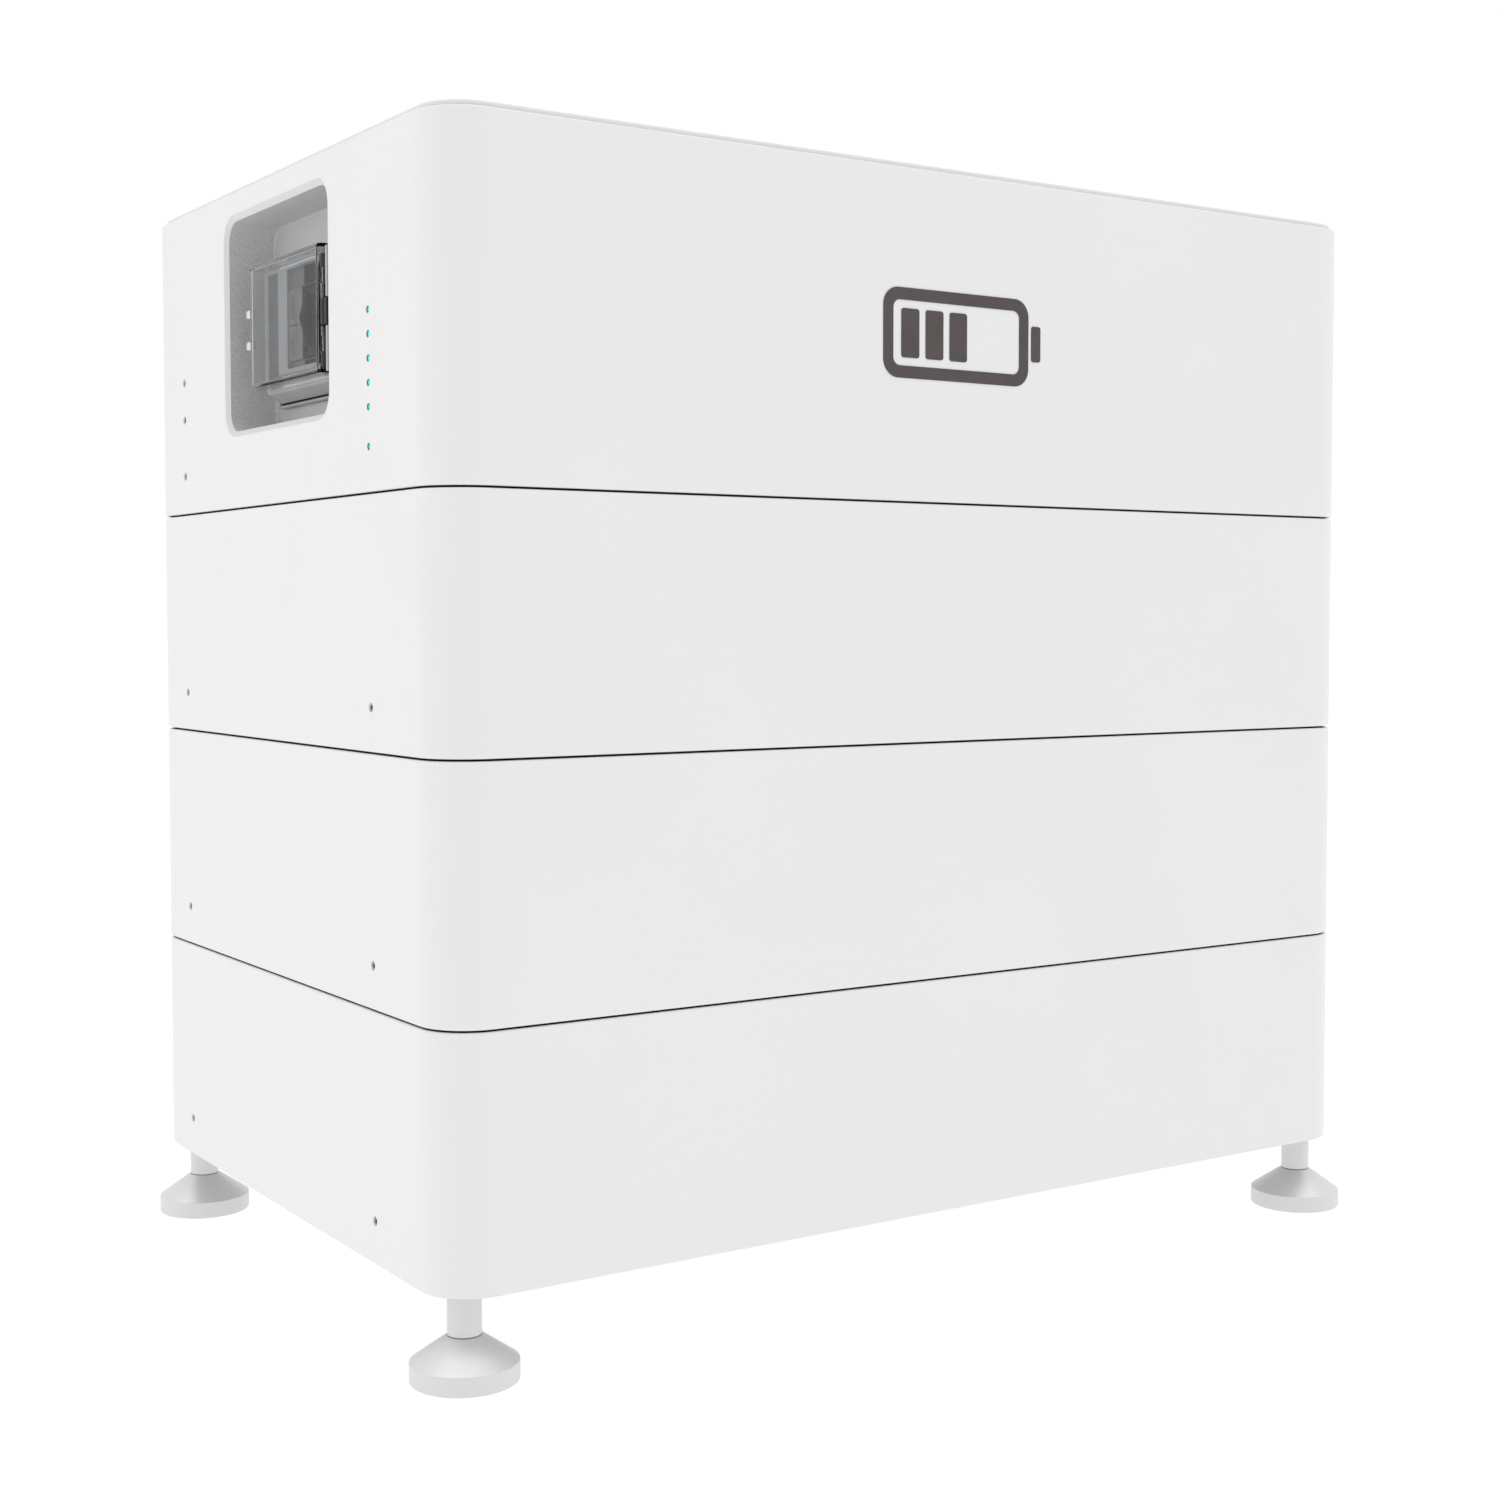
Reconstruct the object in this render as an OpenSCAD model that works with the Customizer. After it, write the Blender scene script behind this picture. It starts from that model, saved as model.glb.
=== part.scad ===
// Floor-standing home storage battery: three battery modules and a control
// module stacked on four levelling feet.
// Frame: +Z up, front face towards -Y, origin on the floor under the centre.

/* [Stack] */
// Width of every module
body_w = 570; // [560:2:580]
// Depth of every module
body_d = 380; // [376:2:384]
// Radius of the four upright corners
corner_r = 25; // [24:1:28]
// Height from one battery module's bottom edge to the next one's
module_pitch = 119; // [119:1:124]
// Height of the control module's wrap cover
control_h = 162.6; // [162.6:0.2:170]
// Gap between stacked wrap covers
seam_gap = 1; // [0.8:0.1:1.2]
// Sheet thickness of the wrap covers
wrap_wall = 2; // [1.8:0.1:2]
// Edge rounding on the wrap covers
edge_r = 1.2; // [0.6:0.1:1.4]

/* [Top lid] */
// How far the lid stands above the wrap cover
lid_rise = 2.8; // [2:0.2:4]
// How far the lid's edge is inside the wrap cover's outer face
lid_inset = 2.9; // [2.6:0.1:3.4]

/* [Side windows] */
// Width of the bevelled window at the outer face
window_w = 140.6; // [138:0.2:142]
// Height of the bevelled window at the outer face
window_h = 114; // [112:0.5:115]
// Width of the bevel round the window
window_bevel = 2.8; // [2.6:0.1:4.5]
// Depth of the recess floor behind the side face
recess_depth = 27; // [27:0.5:28]
// Height of the window's centre above the control module's bottom edge
window_z = 94; // [93:0.5:95]

/* [Breaker hood] */
// Width of the clear hood, along the module's depth
hood_w = 100; // [98:1:100]
// Height of the clear hood
hood_h = 62; // [58:1:62]
// Wall of the clear hood
hood_wall = 1.8; // [1.5:0.1:1.8]
// Height of the hood's hinge middle above the control module's bottom edge
hood_z = 90.5; // [90:0.5:92]

/* [Indicators and screws] */
// Diameter of an indicator light pipe
led_d = 3; // [2.5:0.1:3]
// Spacing of the charge indicators
led_pitch = 11; // [10:0.5:11]
// Diameter of a side cover screw
screw_d = 4.2; // [3.8:0.1:4.2]
// Height of the side screws above a module's bottom edge
screw_z = 20.5; // [18:0.5:24]

/* [Feet] */
// Ground clearance under the lowest module
foot_h = 41; // [41:1:50]
// Diameter of a foot pad
pad_d = 49.6; // [44:0.4:52]
// Height of the upright rim of a foot pad
pad_rim_h = 9; // [7:0.5:10]
// Diameter of the foot's plain collar
collar_d = 15.5; // [15:0.5:16]
// Diameter of the foot's screw
screw_rod_d = 11.8; // [11.8:0.1:12]
// Farthest that a foot screws out
foot_travel = 15; // [10:1:15]

/* [Cells] */
// Cells in one row
cells_per_row = 8; // [6:1:8]
// Cell thickness
cell_t = 40; // [36:1:40]
// Cell width
cell_w = 148; // [140:2:148]
// Cell height without its terminals
cell_h = 95; // [90:1:95]

/* [Hidden] */
$fn = 48;

battery_modules = 3;
wrap_h = module_pitch - seam_gap;
control_z = foot_h + battery_modules * module_pitch;
side_x = body_w / 2;
front_y = -body_d / 2;

// Chassis trays stand just inside the wrap covers
tray_inset = wrap_wall + 0.6;
tray_wall = 1.5;
tray_floor_z = 1;
control_tray_top = 100;
plate_z = 114.5;
plate_t = 1.5;
gasket_inset = 4;
gasket_w = 6;
pin_xy = [255, 120];
pin_r = 5;
link_x = 215;
link_w = 60;
link_d = 64;

// Cells lie in two rows, with their terminals up
cell_gap = 1;
cell_pitch = cell_t + cell_gap;
cell_x0 = -190;
cell_z0 = 6;
row_y = cell_w / 2 + 2.5;
terminal_y = 55;
terminal_r = 6;
terminal_h = 3;
bar_w = 16;
bar_t = 2;
bar_z = cell_z0 + cell_h + terminal_h;
end_plate_t = 10;
deck_z = 112;
deck_t = 1.5;
deck_x = [-196, 200];
deck_y = 170;
deck_top = deck_z + deck_t;
contactor_x = [60, 130];
contactor_h = 38;

// Feet, in the order front left, front right, rear right, rear left
foot_x = side_x - 18.5;
foot_y = body_d / 2 - 19;
FEET = [[-foot_x, -foot_y], [foot_x, -foot_y], [foot_x, foot_y], [-foot_x, foot_y]];
collar_r = collar_d / 2;
rod_r = screw_rod_d / 2;
running_gap = 0.05;
pad_r = pad_d / 2;
cone_top_z = 20.7;
cone_top_r = 8.2;
spigot_r = 6;
spigot_z = 12;
end_gap = 0.3;
nut_h = 14;
nut_r = 10;

// Side screws: the front pair and the rear pair, measured from the centre
screw_front_y = -115.5;
screw_rear_y = 135.2;
control_screw_z = [screw_z, 51.2, 71.5];
screw_hole_r = screw_d / 2 + 0.1;
screw_recess = 0.8;
screw_len = 8;
led_y = -115.8;
led_z = concat([screw_z], [for (i = [0:4]) 38.5 + i * led_pitch]);

// Recess and hood depths are measured inwards from the side face
window_r = 14;
frame_edge = 1.5;
frame_gap = 0.1;
recess_w = window_w - 2 * window_bevel;
recess_h = window_h - 2 * window_bevel;
recess_r = 11;
recess_wall = 1.5;
flange = 8.5;
hood_front = 3;
hood_back = 16;
hood_rise = 1.3;
base_front = 16.4;
base_flare = 4;
base_ledge = [23, 23.8];
base_flange = 25.5;
rail_z = [-38.3, -36.9];
rail_post = 2;
rail_overlap = 0.6;
base_y = [-57.5, 54];
base_half_h = 31.9;
rim_front = 4.5;
rim_t = 2.1;
hinge_y = -52.5;
hinge_depth = 6;
hinge_pin_r = 1.5;
knuckle_r = 2.6;
lug_z = [[20, 26.5], [-27.5, -20.5]];
mid_lug_z = [-7.5, 5.1];
ear_z = [[12.5, 19.6], [-20.1, -13]];
lug_y = -46;
notch_depth = 4.8;
tab_z = [9.2, -7.1];
tab_h = 4.1;
tab_end = 52.8;
breaker_face = 15;
breaker_back = 75;
bump_y = 22.5;
poles_h = 36;
toggle_depth = 21;
toggle_y = -8;
toggle_r = 5;
toggle_rest = 25;
toggle_reach = 12.5;
toggle_slot = 5.8;
trunnion_r = 2;

// Connector recess, on the right side: places are [y, z] from the window's centre
SOCKETS = [[-38, 20], [-38, -20]];
socket_r = 13;
socket_bore_r = 7;
socket_front = 10;
socket_bore_len = 14;
PORTS = [[-4, 20], [16, 20]];
port_w = 16;
port_h = 14;
port_front = 15;
stud_at = [6, -25];
stud_r = 3;
button_at = [42, -5];
button_r = 8;
bracket_hole = [215, 30];
bracket_hole_z = 82;
bracket_hole_r = 3.3;

// Lid screws, on posts that stand on the deck
lid_screw_xy = [180, 155];
lid_sheet = 2;
lid_skirt = 10;
post_r = 6;
lid_screw_r = 2;
lid_head_r = 4;
lid_head_h = 2.5;

// ---- shared shapes ----

function arc(cx, cy, r, a0, a1, n = 8) =
    [for (i = [0:n]) let(a = a0 + (a1 - a0) * i / n) [cx + r * cos(a), cy + r * sin(a)]];

function rounded(w, h, r, n = 8) = concat(
    arc(w / 2 - r, h / 2 - r, r, 0, 90, n),
    arc(-w / 2 + r, h / 2 - r, r, 90, 180, n),
    arc(-w / 2 + r, -h / 2 + r, r, 180, 270, n),
    arc(w / 2 - r, -h / 2 + r, r, 270, 360, n));

// A profile carried round the module's outline. The profile's X is measured
// outwards from the corner's centre, so the outer face is at X = corner_r.
module round_the_outline() {
    cx = body_w / 2 - corner_r;
    cy = body_d / 2 - corner_r;
    for (c = [[cx, cy, 0], [-cx, cy, 90], [-cx, -cy, 180], [cx, -cy, 270]])
        translate([c[0], c[1], 0]) rotate(c[2]) rotate_extrude(angle = 90) children();
    for (s = [[cx, cy, 0], [cy, cx, 90], [cx, cy, 180], [cy, cx, 270]])
        rotate(s[2]) translate([s[0], s[1], 0]) rotate([90, 0, 0])
            linear_extrude(2 * s[1]) children();
}

// A flat plate of the module's outline, set in from the outer face
module outline_plate(inset, t) {
    linear_extrude(t)
        polygon(rounded(body_w - 2 * inset, body_d - 2 * inset, corner_r - inset, 12));
}

// A sheet wall of height h, with rounded outer edges
module wall_profile(h) {
    polygon(concat(
        [[corner_r - wrap_wall, 0]],
        arc(corner_r - edge_r, edge_r, edge_r, -90, 0, 4),
        arc(corner_r - edge_r, h - edge_r, edge_r, 0, 90, 4),
        [[corner_r - wrap_wall, h]]));
}

module band_profile(inset, t, z0, z1) {
    translate([corner_r - inset - t, z0]) square([t, z1 - z0]);
}

// Things on the left side face: X runs inwards, Y and Z as in the frame
module left_side(y = 0, z = 0) {
    translate([-side_x, y, control_z + z]) children();
}

// Things on the right side face, with X running inwards
module right_side(y = 0, z = 0) {
    translate([side_x, y, control_z + z]) mirror([1, 0, 0]) children();
}

// A cylinder from depth a to depth b behind the side face
module inward(r, a, b) {
    translate([a, 0, 0]) rotate([0, 90, 0]) cylinder(r = r, h = b - a);
}

// A flat piece standing parallel to the side face, from depth a to depth b
module upright(w, h, r, a, b) {
    translate([a, 0, 0]) rotate([90, 0, 90]) linear_extrude(b - a)
        polygon(rounded(w, h, r));
}

module box(x, y, z) {
    translate([x[0], y[0], z[0]]) cube([x[1] - x[0], y[1] - y[0], z[1] - z[0]]);
}

function module_z(i) = foot_h + (i - 1) * module_pitch;

// ---- casings ----

module side_screw_holes(r, reach) {
    for (side = [-1, 1], y = [screw_front_y, screw_rear_y])
        translate([side * side_x, y, screw_z]) rotate([0, -90 * side, 0])
            translate([0, 0, -1]) cylinder(r = r, h = reach);
}

module wrap_cover(i) {
    color("white") translate([0, 0, module_z(i)]) difference() {
        round_the_outline() wall_profile(wrap_h);
        side_screw_holes(screw_hole_r, 6);
    }
}

// The frame that lines a window: flush with the side face, then bevelled inwards
module frame_outline(grow, a, b) {
    edge = frame_edge + grow;
    upright(window_w + 2 * edge, window_h + 2 * edge, window_r + edge, a, b);
}

module window_frame() {
    difference() {
        frame_outline(0, 0, wrap_wall);
        hull() {
            upright(window_w, window_h, window_r, -0.01, 0);
            upright(recess_w, recess_h, recess_r, wrap_wall, wrap_wall + 0.01);
        }
    }
}

module control_screw_holes(r, reach) {
    left_side() for (z = control_screw_z) translate([0, screw_rear_y, z])
        inward(r, -1, reach);
    right_side() for (z = control_screw_z) translate([0, screw_rear_y, z])
        inward(r, -1, reach);
    right_side(screw_front_y, screw_z) inward(r, -1, reach);
}

module led_holes(r, reach) {
    for (z = led_z) left_side(led_y, z) inward(r, -1, reach);
}

module bracket_holes(r, y0, y1) {
    for (x = [-1, 1], z = [-1, 1])
        translate([x * bracket_hole[0], y0, control_z + bracket_hole_z + z * bracket_hole[1]])
            rotate([-90, 0, 0]) cylinder(r = r, h = y1 - y0);
}

module control_wrap_cover() {
    color("white") difference() {
        translate([0, 0, control_z]) round_the_outline() wall_profile(control_h);
        left_side(0, window_z) frame_outline(frame_gap, -1, wrap_wall + 1);
        right_side(0, window_z) frame_outline(frame_gap, -1, wrap_wall + 1);
        control_screw_holes(screw_hole_r, 5);
        led_holes(led_d / 2 + 0.1, 5);
        bracket_holes(bracket_hole_r, body_d / 2 - 5, body_d / 2 + 5);
    }
}

// The four places of the lid's screws
module at_lid_screws(z) {
    for (x = [-1, 1], y = [-1, 1])
        translate([x * lid_screw_xy[0], y * lid_screw_xy[1], z]) children();
}

module control_top_lid() {
    top = control_h + lid_rise;
    r = 0.8;
    edge = corner_r - lid_inset;
    seat = top - lid_head_h - 0.5;
    color("white") translate([0, 0, control_z]) difference() {
        union() {
            outline_plate_at(lid_inset + r, top - lid_sheet, top);
            round_the_outline() polygon(concat(
                [[edge - 1.5, top - lid_skirt], [edge, top - lid_skirt]],
                arc(edge - r, top - r, r, 0, 90, 4),
                [[edge - 1.5, top]]));
            at_lid_screws(seat - 1.5) cylinder(r = lid_head_r + 2, h = top - lid_sheet - seat + 1.6);
        }
        at_lid_screws(seat) cylinder(r = lid_head_r + 0.2, h = 4);
        at_lid_screws(seat - 2) cylinder(r = lid_screw_r + 0.2, h = 3);
    }
}

module outline_plate_at(inset, z0, z1) {
    translate([0, 0, z0]) outline_plate(inset, z1 - z0);
}

// The holes in a tray's floor for the pins and the plug of the module below
module stacking_holes() {
    for (x = [-1, 1], y = [-1, 1])
        translate([x * pin_xy[0], y * pin_xy[1], 0]) cylinder(r = pin_r + 0.3, h = 5);
    link_cutout(0);
}

module link_cutout(z) {
    box([link_x - link_w / 2 - 2, link_x + link_w / 2 + 2],
        [-link_d / 2 - 2, link_d / 2 + 2], [z, z + 5]);
}

// A module's steel box: a tray with a welded top plate
module chassis(i) {
    color("silver") translate([0, 0, module_z(i)]) difference() {
        outline_plate_at(tray_inset, tray_floor_z, plate_z + plate_t);
        outline_plate_at(tray_inset + tray_wall, tray_floor_z + tray_wall, plate_z);
        side_screw_holes(screw_hole_r, 8);
        link_cutout(plate_z - 2);
        if (i > 1) stacking_holes();
        else for (f = FEET) translate([f[0], f[1], 0]) cylinder(r = rod_r + 0.4, h = 5);
    }
}

module control_base_tray() {
    color("silver") difference() {
        translate([0, 0, control_z]) {
            outline_plate_at(tray_inset, tray_floor_z, tray_floor_z + tray_wall);
            round_the_outline() band_profile(tray_inset, tray_wall, tray_floor_z, control_tray_top);
        }
        translate([0, 0, control_z]) side_screw_holes(screw_hole_r, 8);
        translate([0, 0, control_z]) stacking_holes();
        for (s = [-1, 1]) translate([s * side_x, 0, control_z])
            box([-10, 10], [-82, 82], [30, 110]);
        control_screw_holes(screw_hole_r, 8);
        led_holes(led_d / 2 + 0.7, 5);
        bracket_holes(bracket_hole_r, body_d / 2 - 8, body_d / 2 + 5);
    }
}

module seam_gaskets() {
    color("black") for (i = [1:battery_modules]) translate([0, 0, module_z(i)])
        round_the_outline() band_profile(gasket_inset, gasket_w,
            plate_z + plate_t, module_pitch + tray_floor_z);
}

module locating_pins() {
    top = plate_z + plate_t;
    color("dimgray") for (i = [1:battery_modules], x = [-1, 1], y = [-1, 1])
        translate([x * pin_xy[0], y * pin_xy[1], module_z(i)]) rotate_extrude()
            polygon([[0, top], [pin_r, top], [pin_r, top + 9], [pin_r - 2, top + 12], [0, top + 12]]);
}

// ---- battery core, the same in every module ----

function cell_x(k) = cell_x0 + cell_t / 2 + k * cell_pitch;

module cells(z0) {
    color("steelblue") translate([0, 0, z0]) for (k = [0:cells_per_row - 1], s = [-1, 1])
        translate([cell_x(k), s * row_y, cell_z0]) {
            translate([-cell_t / 2, -cell_w / 2, 0]) cube([cell_t, cell_w, cell_h]);
            for (t = [-1, 1]) translate([0, t * terminal_y, cell_h])
                cylinder(r = terminal_r, h = terminal_h);
        }
}

module end_plates(z0) {
    last = cell_x0 + cells_per_row * cell_pitch;
    half = row_y + cell_w / 2 + 1;
    color("gainsboro") translate([0, 0, z0]) {
        for (x = [cell_x0 - end_plate_t - 1, last])
            translate([x, -half, cell_z0]) cube([end_plate_t, 2 * half, cell_h - 5]);
        for (s = [-1, 1], z = [20, 70])
            translate([cell_x0 - end_plate_t - 1, s > 0 ? half : -half - bar_t, z])
                cube([last + 2 * end_plate_t + 1 - cell_x0, bar_t, 14]);
    }
}

module bar(x0, x1, y0, y1) {
    box([x0, x1], [y0, y1], [bar_z, bar_z + bar_t]);
}

module busbars(z0, out_x) {
    half = bar_w / 2;
    last = cells_per_row - 1;
    color("peru") translate([0, 0, z0]) {
        for (s = [-1, 1]) {
            for (k = [0:last - 1]) let(y = s * (row_y + (k % 2 == 0 ? 1 : -1) * terminal_y))
                bar(cell_x(k) - half, cell_x(k + 1) + half, y - half, y + half);
            let(y = s * (row_y - terminal_y))
                bar(cell_x(last) - half, out_x, y - half, y + half);
        }
        bar(cell_x(0) - half, cell_x(0) + half, terminal_y - row_y - half, row_y - terminal_y + half);
    }
}

module bms_board(i) {
    board_x = 172;
    color("darkgreen") translate([0, 0, module_z(i)]) {
        box([board_x, board_x + 1.6], [-120, 120], [20, 95]);
        for (y = [-95, -35, 35, 95]) box([board_x + 1.6, board_x + 11.6], [y - 14, y + 14], [34, 74]);
        for (y = [-65, 0, 65]) box([board_x + 1.6, board_x + 5.6], [y - 6, y + 6], [28, 40]);
        for (y = [-116, 116], z = [24, 91]) translate([board_x - 8, y, z])
            rotate([0, 90, 0]) cylinder(r = 3, h = 8);
        for (y = [-116, 116]) box([board_x - 9.5, board_x - 8], [y - 4, y + 4], [2.5, 95]);
    }
}

module stack_connectors() {
    seam = plate_z + plate_t + 2;
    color("darkorange") for (i = [1:battery_modules]) translate([link_x, 0, module_z(i)]) {
        difference() {
            union() {
                centred_box(link_w, link_d, seam - 14, seam - 0.2);
                centred_box(link_w + 10, link_d + 10, plate_z - 2, plate_z);
            }
            for (x = [-1, 0, 1], y = [-18, 18]) translate([x * 18, y, seam - 10])
                cylinder(r = 3.1, h = 11);
        }
        centred_box(link_w, link_d, seam, seam + 14);
        centred_box(link_w + 10, link_d + 10, module_pitch + tray_floor_z + tray_wall,
            module_pitch + tray_floor_z + tray_wall + 2);
        for (x = [-1, 0, 1], y = [-18, 18]) translate([x * 18, y, seam - 8])
            cylinder(r = 3, h = 9);
    }
}

module centred_box(w, d, z0, z1) {
    translate([-w / 2, -d / 2, z0]) cube([w, d, z1 - z0]);
}

// ---- control deck ----

module control_deck() {
    post_top = control_h + lid_rise - lid_head_h - 2;
    color("silver") translate([0, 0, control_z]) difference() {
        union() {
            box(deck_x, [-deck_y, deck_y], [deck_z, deck_top]);
            for (s = [-1, 1])
                box(deck_x, [s * deck_y - deck_t / 2, s * deck_y + deck_t / 2],
                    [tray_floor_z + tray_wall, deck_top]);
            at_lid_screws(deck_z) cylinder(r = post_r, h = post_top - deck_z);
        }
        at_lid_screws(post_top - 14) cylinder(r = lid_screw_r, h = 15);
    }
}

// The main board on the deck, and the narrow one behind the indicator lights
module control_boards() {
    x0 = -150;
    y0 = -10;
    z0 = control_z + deck_top;
    color("darkgreen") {
        translate([x0, y0, z0 + 6]) cube([210, 150, 1.6]);
        for (x = [10, 200], y = [10, 140]) translate([x0 + x, y0 + y, z0])
            cylinder(r = 4, h = 6);
        translate([x0 + 40, y0 + 50, z0 + 7.6]) cube([34, 34, 3]);
        for (x = [100:30:190]) translate([x0 + x, y0 + 20, z0 + 7.6]) cube([20, 24, 14]);
        for (y = [20:28:104]) translate([x0 + 6, y0 + y, z0 + 7.6]) cube([12, 20, 11]);
        for (x = [100:28:184]) translate([x0 + x, y0 + 110, z0 + 7.6]) cylinder(r = 8, h = 22);
        left_side(led_y, 0) box([6, 7.6], [-6, 6], [14, 90]);
        for (z = led_z) left_side(led_y, z) inward(2.5, 7.6, 9);
    }
}

module contactors() {
    z0 = control_z + deck_top;
    color("dimgray") for (i = [0, 1]) translate([contactor_x[i], 0, z0]) {
        translate([0, -130, 0]) cube([50, 58, contactor_h]);
        for (y = [-122, -94 + 10 * i]) translate([25, y, contactor_h]) cylinder(r = 3.8, h = 5);
        translate([-5, -134, 0]) cube([60, 66, 3]);
    }
}

module dc_fuse() {
    z0 = control_z + deck_top;
    color("ivory") {
        translate([-60, -108, z0 + 18]) rotate([0, 90, 0]) cylinder(r = 11, h = 60);
        for (x = [-66, 0]) translate([x, -108, z0 + 18]) rotate([0, 90, 0]) cylinder(r = 12.5, h = 6);
        for (x = [-64, -2]) translate([x, -114, z0]) cube([6, 12, 18]);
    }
}

// Copper from the cells up to the deck, and from the contactors to the sockets
module control_busbars() {
    half = bar_w / 2;
    riser_x = deck_x[1] + 4;
    contactor_z = deck_top + contactor_h + 5;
    busbars(control_z, riser_x);
    color("peru") translate([0, 0, control_z]) {
        for (s = [-1, 1]) let(y = s * (row_y - terminal_y))
            box([riser_x - bar_t, riser_x], [y - half, y + half], [bar_z, deck_top + 16]);
        box([contactor_x[0] + 20, contactor_x[1] + 30], [-126, -118], [contactor_z, contactor_z + bar_t]);
        for (i = [0, 1]) let(x = 212 + 8 * i, z = window_z + SOCKETS[i][1]) {
            box([contactor_x[i] + 20, x], [-98 + 10 * i, -90 + 10 * i],
                [contactor_z, contactor_z + bar_t]);
            box([x - bar_t, x], [-98 + 10 * i, -90 + 10 * i], [z - 4, contactor_z]);
            box([x - bar_t, x], [-90 + 10 * i, SOCKETS[i][0] + 4], [z - 4, z + 4]);
            box([x, side_x - recess_depth - 17], [SOCKETS[i][0] - 4, SOCKETS[i][0] + 4], [z - 1, z + 1]);
        }
    }
}

// ---- breaker window ----

// The recess's four walls, with a flange against the back of the wrap cover
module recess_walls() {
    difference() {
        union() {
            upright(recess_w + 2 * flange, recess_h + 2 * flange - 4, recess_r + 2,
                wrap_wall, wrap_wall + recess_wall);
            upright(recess_w + 2 * recess_wall, recess_h + 2 * recess_wall, recess_r + recess_wall,
                wrap_wall, recess_depth + recess_wall);
        }
        upright(recess_w, recess_h, recess_r, wrap_wall - 1, recess_depth + recess_wall + 1);
    }
}

// The recess's back, welded in between the walls
module recess_back() {
    upright(recess_w - 2 * frame_gap, recess_h - 2 * frame_gap, recess_r - frame_gap,
        recess_depth, recess_depth + recess_wall);
}

module breaker_window_frame() {
    color("white") left_side(0, window_z) window_frame();
}

module breaker_recess_tray() {
    color("darkgray") left_side(0, window_z) recess_walls();
}

module breaker_recess_back() {
    color("darkgray") difference() {
        left_side(0, window_z) recess_back();
        left_side(0, hood_z) box([recess_depth - 1, recess_depth + 3],
            [-bump_y - 0.5, bump_y + 0.5], [-poles_h / 2 - 0.5, poles_h / 2 + 0.5]);
    }
}

// The moulded base: a ledge that flares above and below, then a groove and a flange,
// with a slotted rail along the bottom
module hood_base() {
    y_mid = (base_y[0] + base_y[1]) / 2;
    w = base_y[1] - base_y[0];
    h = 2 * base_half_h;
    flared_h = h + 2 * base_flare;
    color("gainsboro") left_side(0, hood_z) difference() {
        union() {
            translate([0, y_mid, 0]) {
                hull() {
                    upright(w, h, 4, base_front, base_front + 0.01);
                    upright(w, flared_h, 4, base_ledge[0], base_ledge[1]);
                }
                upright(w - 8, h, 4, base_ledge[1], base_flange);
                upright(w, flared_h, 4, base_flange, recess_depth);
            }
            box([base_flange, recess_depth], base_y, [rail_z[0], -base_half_h]);
            box([base_ledge[0], recess_depth], base_y, rail_z);
            box([base_ledge[0], recess_depth], [base_y[1] - rail_post, base_y[1]],
                [rail_z[0], -base_half_h - base_flare + rail_overlap]);
            box([rim_front, base_front + 1], [base_y[0], base_y[0] + rim_t],
                [-base_half_h + 2, base_half_h - 2]);
        }
        box([0, recess_depth + 3], [-bump_y - 0.5, bump_y + 0.5],
            [-poles_h / 2 - 0.5, poles_h / 2 + 0.5]);
        box([rim_front - 1, base_front], [base_y[0] - 1, base_y[0] + rim_t + 1], mid_lug_z);
    }
}

// The hood's outline seen from above: X inwards, Y towards the free edge.
// t sets it in from the outside by the wall's thickness, and opens the back.
function hood_outline(t) = let(
        f = hood_front + t, y0 = -hood_w / 2 + t, y1 = hood_w / 2 - t,
        back = hood_back + (t > 0 ? 1 : 0), rf = 11 - t, rh = 3 - t / 2)
    concat(
        [[back, y0], [back, y1]],
        arc(f + rf, y1 - rf, rf, 90, 180, 10),
        arc(f + rh, y0 + rh, rh, 180, 270, 5));

module finger_tab_blocks() {
    for (z = tab_z) box([5.5, 8.5], [46.5, tab_end], [z - tab_h / 2, z + tab_h / 2]);
}

module hood_cover() {
    color("lightblue", 0.4) left_side(0, hood_z) difference() {
        union() {
            translate([0, 0, hood_rise - hood_h / 2]) linear_extrude(hood_h)
                polygon(hood_outline(0));
            for (e = ear_z) translate([hinge_depth, hinge_y, e[0]]) {
                cylinder(r = knuckle_r, h = e[1] - e[0]);
                translate([-1.3, 0, 0]) cube([2.6, -hood_w / 2 - hinge_y + 0.5, e[1] - e[0]]);
            }
        }
        translate([0, 0, hood_rise - hood_h / 2 + hood_wall])
            linear_extrude(hood_h - 2 * hood_wall) polygon(hood_outline(hood_wall));
        for (z = [lug_z[0], lug_z[1], mid_lug_z])
            box([notch_depth, hood_back + 1], [-hood_w / 2 - 1, -hood_w / 2 + hood_wall + 0.5],
                [z[0] - 0.5, z[1] + 0.5]);
        translate([hinge_depth, hinge_y, -hood_h / 2])
            cylinder(r = hinge_pin_r + running_gap, h = hood_h);
        finger_tab_blocks();
    }
}

module hood_hinge_blocks() {
    color("black") left_side(0, hood_z) difference() {
        union() {
            for (z = [lug_z[0], lug_z[1], mid_lug_z]) {
                translate([hinge_depth, hinge_y, z[0]]) cylinder(r = knuckle_r, h = z[1] - z[0]);
                box([hinge_depth, base_front], [hinge_y - knuckle_r, lug_y], z);
            }
            box([rim_front - 0.4, base_front], [base_y[0], hinge_y - knuckle_r + 0.1], mid_lug_z);
        }
        translate([hinge_depth, hinge_y, -hood_h / 2]) cylinder(r = hinge_pin_r, h = hood_h);
    }
}

module hood_hinge_pins() {
    color("silver") left_side(0, hood_z)
        for (p = [[lug_z[0][1], ear_z[0][0]], [ear_z[1][1], lug_z[1][0]]])
            translate([hinge_depth, hinge_y, p[1]])
                cylinder(r = hinge_pin_r, h = p[0] - p[1]);
}

module hood_finger_tabs() {
    color("whitesmoke") left_side(0, hood_z) finger_tab_blocks();
}

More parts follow.
